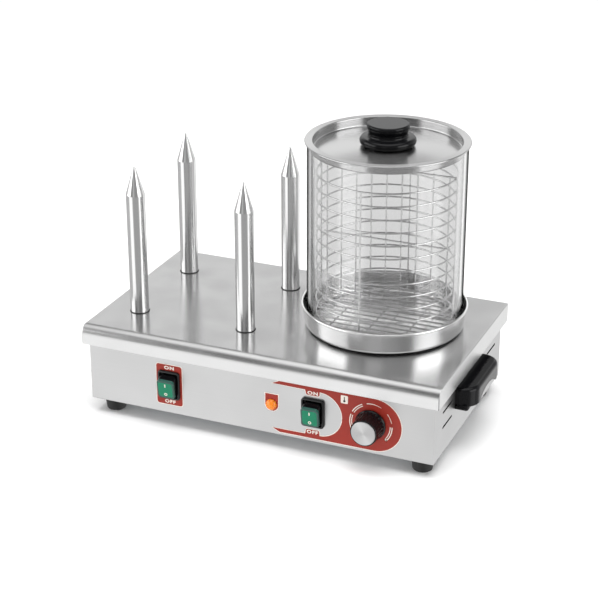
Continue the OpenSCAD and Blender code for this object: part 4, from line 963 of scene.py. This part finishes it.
class MACHINE_OT_switches(Operator):
    """Makes the two rocker switches"""
    bl_idname = "machine.switches"
    bl_label = "Switches"

    tilt: FloatProperty(name="Tilt", description="Lean of a rocker that is off", subtype="ANGLE",
                        default=math.radians(8.5))
    pivot: length_of("Pivot", 3.2, "Depth of the pivot behind the front")

    def execute(self, context):
        front = box_mm("body_shell")[0][1]
        turn = self.tilt
        for side in ("left", "right"):
            low, high = box_mm("switch_housing_" + side)
            x, z = (low[0] + high[0]) / 2, (low[2] + high[2]) / 2
            wide, tall = high[0] - low[0], high[2] - low[2]
            well = eased([(1.7, -9.0), (0, -9.0), (0, 3.5, 1.1), (2.4, 3.5, 0.4), (2.8, -1.2), (4.4, -1.4),
                          (4.4, -8.0)])[1:]
            frame_rings = block(wide, tall, 4, well, per=7)
            build("switch_frame_" + side, [skin(on_front(frame_rings, x, z, front))], satin_black(), "base",
                  ["switch_housing_" + side])
            body = "rocker_" + side

            def leaning(rings):
                """Turns rings about the pivot: level and height swing by the tilt."""
                a, b, c = rings[..., 0], rings[..., 1], rings[..., 2]
                out = c * math.cos(turn) + b * math.sin(turn)
                up = b * math.cos(turn) - c * math.sin(turn)
                return np.stack([x + a, front + self.pivot / MM - out, z + up], -1)

            def rocker(levels, insets):
                """Tapered block: its half height shrinks by narrowing for each mm above its foot, and both
                halves by the inset of the edge."""
                levels, insets = np.asarray(levels, float), np.asarray(insets, float)
                half = half_tall - narrowing * (levels - foot) - insets
                w = half_wide - insets
                return boxed(-w, w, -half, half, np.maximum(4.2 - insets, 0.4), levels, 7)

            half_tall, half_wide, foot, narrowing = 15.6, 11.8, 4.6, 3.1 / 10.6
            block_rings = rocker([-2.2, foot, foot, 11.9, 12.0], [3.4, 3.4, 0.3, 0, 0.1])
            build("rocker_block_" + side, [skin(leaning(block_rings))], glossy_black(), body,
                  ["rocker_" + side])
            edge = eased([(0, 12.0), (0.05, 13.4), (0, 15.0, 1.6), (3, 15.0)], steps=7)
            face = rocker(np.append(edge[:, 1], 14.8), np.append(edge[:, 0], 3.4))
            build("rocker_rim_" + side, [skin(leaning(face))], green_rim(), body,
                  ["rocker_lens_" + side])
            pad = block(19.4, 20.2, 3.0, eased([(0, 14.6), (0, 15.25, 0.5), (3, 15.3), (6, 15.3)]), per=7)
            build("rocker_face_" + side, [skin(leaning(pad))], green_face(), body)
            # The marks I and O start inside the face and stand a little proud of it
            sunk, proud = 15.2, 15.42
            stroke = block(1.3, 4.4, 0.3, [(0, sunk), (0, proud)])
            ring = turned(eased([(1.2, sunk), (2.1, sunk), (2.1, proud), (1.2, proud)], closed=True),
                          (0, 0, 0), 40)
            marks = [skin(leaning(stroke + [0, 6.2, 0])), skin(leaning(ring + [0, -6.6, 0]), closed=True)]
            build("rocker_marks_" + side, marks, pale_print(), body)
        return {"FINISHED"}


class MACHINE_OT_lamp(Operator):
    """Makes the lens of the signal lamp"""
    bl_idname = "machine.lamp"
    bl_label = "Lamp"

    def execute(self, context):
        low, high = box_mm("lamp_lens")
        r, out = (high[0] - low[0]) / 2, high[1] - low[1]
        edge = eased([(0.5, 0), (r, 0), (r, 2.2, 0.5)])
        rise = out - 2
        ball = (r ** 2 + rise ** 2) / (2 * rise)
        a = math.degrees(math.acos(r / ball)) if r < ball else 0
        dome = arc(0, out - ball, ball, a, 87, 14)
        profile = np.concatenate([edge[:-1], dome])
        place = (middle_mm("lamp_lens")[0], box_mm("body_shell")[0][1], middle_mm("lamp_lens")[2])
        build("lamp_dome", [skin(turned(profile, place, 64, outward=True))], amber_lens(), "base",
              ["lamp_lens"])
        return {"FINISHED"}


class MACHINE_OT_dial(Operator):
    """Makes the fluted thermostat knob and its cap"""
    bl_idname = "machine.dial"
    bl_label = "Thermostat knob"

    def execute(self, context):
        flutes = controls().flutes
        low, high = box_mm("thermostat_knob")
        front = box_mm("body_shell")[0][1]
        x, z = middle_mm("thermostat_knob")[[0, 2]]
        reach = front - low[1]
        wide = (high[0] - low[0]) / 2
        profile = eased([(3.05, 20), (3.05, 8.8), (14.6, 8.8, 0.5), (14.6, 1.8), (wide, 1.8, 0.3),
                         (wide, 3.2, 0.5), (18.5, 4.6, 0.6), (18.3, 6), (17.9, 12), (17.5, 19),
                         (17.2, reach - 0.9, 0.5), (16.5, reach, 0.4), (15.6, reach), (15.6, reach - 0.8),
                         (0.5, reach - 0.8)])
        around = flutes * 16
        t = np.arange(around) / around * 2 * np.pi
        radius, level = profile[:, 0][:, None], profile[:, 1][:, None]
        # A flute is a groove of radius r centred R from the axis: its near side lies at
        # R cos(d) - sqrt(r^2 - R^2 sin(d)^2) for an angle d from the groove's middle. It fades in
        # above the skirt and stops at the floor.
        groove, centred, floor, skirt, fading = 1.2, 17.9, 15.9, 4.9, 1.2
        away = (t * flutes / (2 * np.pi) + 0.5) % 1 - 0.5
        d = away * 2 * np.pi / flutes
        inside = np.maximum(groove ** 2 - (centred * np.sin(d)) ** 2, 0)
        near = np.where(inside > 0, centred * np.cos(d) - np.sqrt(inside), np.inf)
        fluted = np.minimum(radius, np.maximum(near, floor))
        fade = np.clip((level - skirt) / fading, 0, 1) * (radius > floor)
        r = radius + (fluted - radius) * fade
        rings = np.stack([x + r * np.cos(t), np.broadcast_to(front - level, r.shape), z + r * np.sin(t)], -1)
        build("dial_knob", [skin(rings)], glossy_black(), "control_knob", ["thermostat_knob"],
              crease=50)
        base, crown = box_mm("knob_cap")
        r, out = (crown[0] - base[0]) / 2, front - base[1]
        disc = eased([(0.5, out - 1.4), (r, out - 1.4), (r, out, 0.45), (r - 1.2, out), (10, out), (6, out),
                      (3, out), (1.2, out), (0.25, out)])
        build("dial_cap", [skin(turned(disc, (x, front, z), 128, outward=True))], spun_cap(), "control_knob",
              ["knob_cap"])
        return {"FINISHED"}


class MACHINE_OT_plates(Operator):
    """Makes the printed plates behind the controls, with generic lettering only"""
    bl_idname = "machine.plates"
    bl_label = "Printed plates"

    def execute(self, context):
        look = controls()
        front = box_mm("body_shell")[0][1]
        edge, thick = look.plate_edge / MM, look.plate_thick / MM
        top = thick + 0.08  # face of the ink
        left = middle_mm("switch_housing_left")
        dial = middle_mm("thermostat_knob")
        lamp = middle_mm("lamp_lens")

        def printed(outline, base, top, hole=None):
            """Thin plate: the outline at two levels, joined and capped, or joined to the same of its hole."""
            stack = [(outline, base), (outline, top)] + ([] if hole is None else [(hole, top), (hole, base)])
            rings = [np.stack([o[:, 0], np.full(len(o), front - level), o[:, 1]], -1)
                     for o, level in ((np.asarray(o, float), level) for o, level in stack)]
            return skin(rings, closed=hole is not None)

        # Plate behind the left switch
        w, h, z = 35.8, 55.5, left[2] - 0.2
        small = boxed(left[0] - w / 2, left[0] + w / 2, z - h / 2, z + h / 2, 3.2, 0)[0, :, :2]
        # Shield behind the lamp: square above and a half circle below
        cx, cz, r = lamp[0] + 0.5, lamp[2], 8.7
        shield = np.concatenate([[(cx - r, cz + 14.2), (cx + r, cz + 14.2)], arc(cx, cz, r, 0, -180, 28)])
        # Band round the right switch and the dial
        mid, right = dial[2] - 0.1, dial[0] + 4.4
        band = np.concatenate([
            [(22.3, mid + 30.6), (31.4, mid + 35.1)], arc(right, mid, 35.1, 90, -90, 60),
            [(31.4, mid - 35.1), (22.3, mid - 30.6), (66, mid - 30.3), (67.2, mid - 24.6), (68.6, mid - 23.4),
             (83.2, mid - 23.0), (84.9, mid - 24.4)], arc(84.8, mid, 30, -89, 89, 60),
            [(84.9, mid + 25.2), (83.4, mid + 24.0), (69, mid + 23.6), (67.4, mid + 24.8), (66, mid + 30.3)]])
        hole = boxed(left[0] - 13.4, left[0] + 13.4, left[2] - 17.4, left[2] + 17.4, 1, 0)[0, :, :2]
        build("plate_edges", [printed(spread_out(small, edge), 0.02, thick, hole)]
              + [printed(spread_out(o, edge), 0.02, thick) for o in (shield, band)],
              pale_print(), "base")
        build("plate_inks", [printed(small, 0.02, top, hole)]
              + [printed(o, 0.02, top) for o in (shield, band)], red_print(), "base")
        # Dial marks: arcs about the knob, in pairs
        marks = []

        def stripe(r0, r1, first, last, end=None):
            """Part of a ring from radius r0 to r1; with end, its inner radius runs to end at the far side."""
            a = np.radians(np.linspace(first, last, 24))
            inner = np.linspace(r0, r0 if end is None else end, 24)
            outer_line = np.stack([dial[0] + r1 * np.cos(a), dial[2] + r1 * np.sin(a)], -1)
            inner_line = np.stack([dial[0] + inner * np.cos(a), dial[2] + inner * np.sin(a)], -1)
            marks.append(printed(np.concatenate([outer_line, inner_line[::-1]]), 0.1, top + 0.06))

        for first, last in ((115, 152), (161, 208), (-44, 2)):
            stripe(26.7, 27.9, first, last)
            stripe(24.3, 25.3, first, last)
        stripe(26.6, 27.9, 102, 62, 27.5)
        stripe(27.0, 27.7, 40, 13)
        stripe(24.3, 27.9, -44, -39)
        square = boxed(dial[0] - 39.2, dial[0] - 30.0, dial[2] + 21.2, dial[2] + 32.0, 1.3, 0)[0, :, :2]
        marks.append(printed(square, 0.1, top + 0.05))
        build("dial_marks", marks, pale_print(), "base")
        tx, tz = dial[0] - 34.6, dial[2] + 24.4
        stem = np.concatenate([arc(tx, tz, 1.5, 115, 425, 24), arc(tx, tz + 5.2, 0.62, 0, 180, 10)])
        build("dial_thermometer", [printed(stem, 0.1, top + 0.1)], dark_print(), "base")
        letters = (("on_left", "ON", left[0] + 0.2, left[2] + 23.4, 1.35),
                   ("off_left", "OFF", left[0] + 0.6, left[2] - 23.6, 1.25),
                   ("on_right", "ON", 76.0, mid + 27.0, 1.35), ("off_right", "OFF", 75.8, mid - 26.6, 1.25))
        for name, text, x, z, wide in letters:
            lettering("print_" + name, text, 4.8, x, z, top + 0.03, pale_print(), "base",
                      wide, bold=0.045)
        return {"FINISHED"}


# Stage

# Rectangles of light, or of shade where the change is below 0: first and last bearing from the camera in
# degrees, positive to its right, lowest and highest angle above the horizon, and the change
PANELS = (
    (-76, -34, -80, 0, 0.80),  # bright floor left of the camera
    (46, 80, -80, 0, 0.80),  # bright floor right of the camera
    (-27, 36, -80, 0, -0.15),  # shaded floor in front
    (116, 148, -80, 0, 0.55),  # bright floor on the right
    (156, 200, -80, 0, -0.45),  # shade behind on the right
    (-200, -158, -80, 0, -0.40),  # shade behind on the left
    (-112, -56, 0, 36, 2.0),  # tall soft box on the left
    (40, 84, 0, 36, 2.5),  # tall soft box on the right
    (-54, -28, 0, 36, -0.35),  # dark gap beside the left box
    (-6, 38, 0, 36, -0.25),  # dark end of the room behind the camera
    (150, 210, 8, 32, 0.50),  # pale wall behind
    (-210, -150, 8, 32, 0.60),  # the same, left of the middle
    (-200, 200, 34, 54, -0.45),  # dark band under the overhead light
)


class MACHINE_OT_stage(Operator):
    """Makes the floor, the studio light and the camera"""
    bl_idname = "machine.stage"
    bl_label = "Stage"

    azimuth: FloatProperty(name="Azimuth", subtype="ANGLE", default=math.radians(22.85),
                           description="Camera to the right of the front")
    elevation: FloatProperty(name="Elevation", subtype="ANGLE", default=math.radians(23.66),
                             description="Camera above the floor")
    distance: length_of("Distance", 2179.7, "Camera to the point it looks at")

    def execute(self, context):
        scene = context.scene
        look = scene.machine_stage
        around, reaches = 64, np.array([30000, 2000, 300, 5])
        t = np.arange(around) / around * 2 * np.pi
        rings = np.stack([np.cos(t), np.sin(t), np.zeros(around)], -1) * reaches[:, None, None]
        mesh = bpy.data.meshes.new("floor")
        index = np.arange(len(reaches) * around).reshape(-1, around)
        quads = np.stack([index[:-1], np.roll(index[:-1], -1, 1), np.roll(index[1:], -1, 1), index[1:]], -1)
        mesh.from_pydata((rings.reshape(-1, 3) * MM).tolist(), [], quads.reshape(-1, 4).tolist()
                         + [index[-1].tolist()])
        mesh.materials.append(surface("matt studio floor", look.floor, (400, 400, 400), tone=0.005,
                                      rough=0.9))
        floor = bpy.data.objects.new("floor", mesh)
        scene.collection.objects.link(floor)
        floor.visible_glossy = False
        floor.visible_transmission = False
        lamp = bpy.data.lights.new("overhead", "AREA")
        lamp.shape, lamp.size, lamp.size_y, lamp.energy = "RECTANGLE", 2.6, 1.8, 60 * look.glow
        overhead = bpy.data.objects.new("overhead", lamp)
        overhead.location = (0.3, -0.5, 2.6)
        overhead.rotation_euler = (-0.19, 0.11, 0)
        overhead.visible_glossy = overhead.visible_camera = overhead.visible_transmission = False
        scene.collection.objects.link(overhead)
        studio(scene, look.glow, self.azimuth)

        a, e = self.azimuth, self.elevation
        back = np.array([math.sin(a) * math.cos(e), -math.cos(a) * math.cos(e), math.sin(e)])
        aim = np.array([8.61, 0, 149.47]) * MM  # point that the photo's middle falls on, near enough
        camera = bpy.data.cameras.new("camera")
        camera.lens, camera.sensor_width = look.lens, 36  # sensor of a full-frame camera
        camera.shift_x, camera.shift_y = -0.0069, -0.0049
        eye = bpy.data.objects.new("camera", camera)
        eye.location = aim + back * self.distance
        eye.rotation_euler = (math.pi / 2 - e, 0, a)
        scene.collection.objects.link(eye)
        scene.camera = eye
        scene.view_settings.view_transform = "Standard"
        return {"FINISHED"}


def studio(scene, glow, azimuth):
    """Soft studio round the machine, as light that depends only on direction: a pale room, brighter
    overhead, with the PANELS. What is seen straight through the glass is an even grey, and the
    camera itself sees plain white."""
    world = bpy.data.worlds.new("studio")
    scene.world = world
    world.use_nodes = True
    tree = world.node_tree
    tree.nodes.clear()
    ray = add(tree, "ShaderNodeSeparateXYZ", {0: add(tree, "ShaderNodeTexCoord").outputs["Generated"]})
    turned_y = add(tree, "ShaderNodeMath", {0: ray.outputs["Y"], 1: -1.0}, operation="MULTIPLY")
    bearing = add(tree, "ShaderNodeMath", {0: ray.outputs["X"], 1: turned_y.outputs[0]}, operation="ARCTAN2")
    shifted = add(tree, "ShaderNodeMath", {0: bearing.outputs[0], 1: azimuth}, operation="SUBTRACT")
    side = add(tree, "ShaderNodeMath", {0: shifted.outputs[0], 1: math.pi, 2: -math.pi}, operation="WRAP")
    height = add(tree, "ShaderNodeMath", {0: ray.outputs["Z"]}, operation="ARCSINE")

    def rise(value, middle, soft):
        """Smooth step from 0 to 1 about an angle in degrees."""
        return add(tree, "ShaderNodeMapRange", {"Value": value, "From Min": math.radians(middle - soft),
                                                "From Max": math.radians(middle + soft)},
                   interpolation_type="SMOOTHSTEP").outputs[0]

    def both(one, other, operation="MULTIPLY"):
        """Two values brought together."""
        return add(tree, "ShaderNodeMath", {0: one, 1: other}, operation=operation).outputs[0]

    def between(value, first, last, soft):
        """Product of two smooth steps: 1 between two angles and 0 outside them."""
        return both(rise(value, first, soft), both(1.0, rise(value, last, soft), "SUBTRACT"))

    walls, overhead, through_glass, darkest = 0.60, 1.0, 0.75, 0.02
    room = both(walls, both(rise(height.outputs[0], 60, 12), overhead), "ADD")
    for left, right, low, high, change in PANELS:
        inside = both(between(side.outputs[0], left, right, 4), between(height.outputs[0], low, high, 8))
        room = both(room, both(inside, change), "ADD")
    lit = both(both(room, darkest, "MAXIMUM"), glow)
    path = add(tree, "ShaderNodeLightPath")
    bounced = both(path.outputs["Glossy Depth"], path.outputs["Diffuse Depth"], "ADD")
    straight = both(bounced, 0.5, "LESS_THAN")
    seen = add(tree, "ShaderNodeMix", {0: straight, 2: lit, 3: through_glass}, data_type="FLOAT").outputs[0]
    strength = add(tree, "ShaderNodeMix", {0: path.outputs["Is Camera Ray"], 2: seen, 3: 1.0},
                   data_type="FLOAT").outputs[0]
    sky = add(tree, "ShaderNodeBackground", {"Color": (1, 1, 1, 1), "Strength": strength})
    add(tree, "ShaderNodeOutputWorld", {"Surface": sky.outputs[0]})


# Add-on

class MACHINE_PT_panel(Panel):
    """Lists the pieces and their settings."""
    bl_label = "Hot dog machine"
    bl_idname = "MACHINE_PT_panel"
    bl_space_type = "VIEW_3D"
    bl_region_type = "UI"
    bl_category = "Hot dog machine"

    def draw(self, context):
        for group in GROUPS:
            settings = getattr(context.scene, group)
            box = self.layout.box()
            box.label(text=settings.__doc__ or group)
            for key in settings.__annotations__:
                box.prop(settings, key)
        for operator in STEPS:
            self.layout.operator(operator.bl_idname)


GROUPS = {"machine_steel": SteelLook, "machine_steamer": SteamerSizes, "machine_basket": BasketSizes,
          "machine_controls": ControlLook, "machine_stage": StageLook}
STEPS = (MACHINE_OT_carried_finishes, MACHINE_OT_cover, MACHINE_OT_feet, MACHINE_OT_handles,
         MACHINE_OT_spikes, MACHINE_OT_pan, MACHINE_OT_glass, MACHINE_OT_lid, MACHINE_OT_basket,
         MACHINE_OT_switches, MACHINE_OT_lamp, MACHINE_OT_dial, MACHINE_OT_plates, MACHINE_OT_stage)


def register():
    """Makes the settings, the operators and the panel known."""
    for kind in (*GROUPS.values(), *STEPS, MACHINE_PT_panel):
        bpy.utils.register_class(kind)
    for name, group in GROUPS.items():
        setattr(bpy.types.Scene, name, PointerProperty(type=group))


def unregister():
    """Takes them away again."""
    for name in GROUPS:
        delattr(bpy.types.Scene, name)
    for kind in reversed((*GROUPS.values(), *STEPS, MACHINE_PT_panel)):
        bpy.utils.unregister_class(kind)


def main():
    """Builds the machine step by step."""
    register()
    for step in STEPS:
        group, name = step.bl_idname.split(".")
        if getattr(getattr(bpy.ops, group), name)() != {"FINISHED"}:
            raise RuntimeError(f"{step.bl_label} didn't finish")


if __name__ == "__main__":
    main()
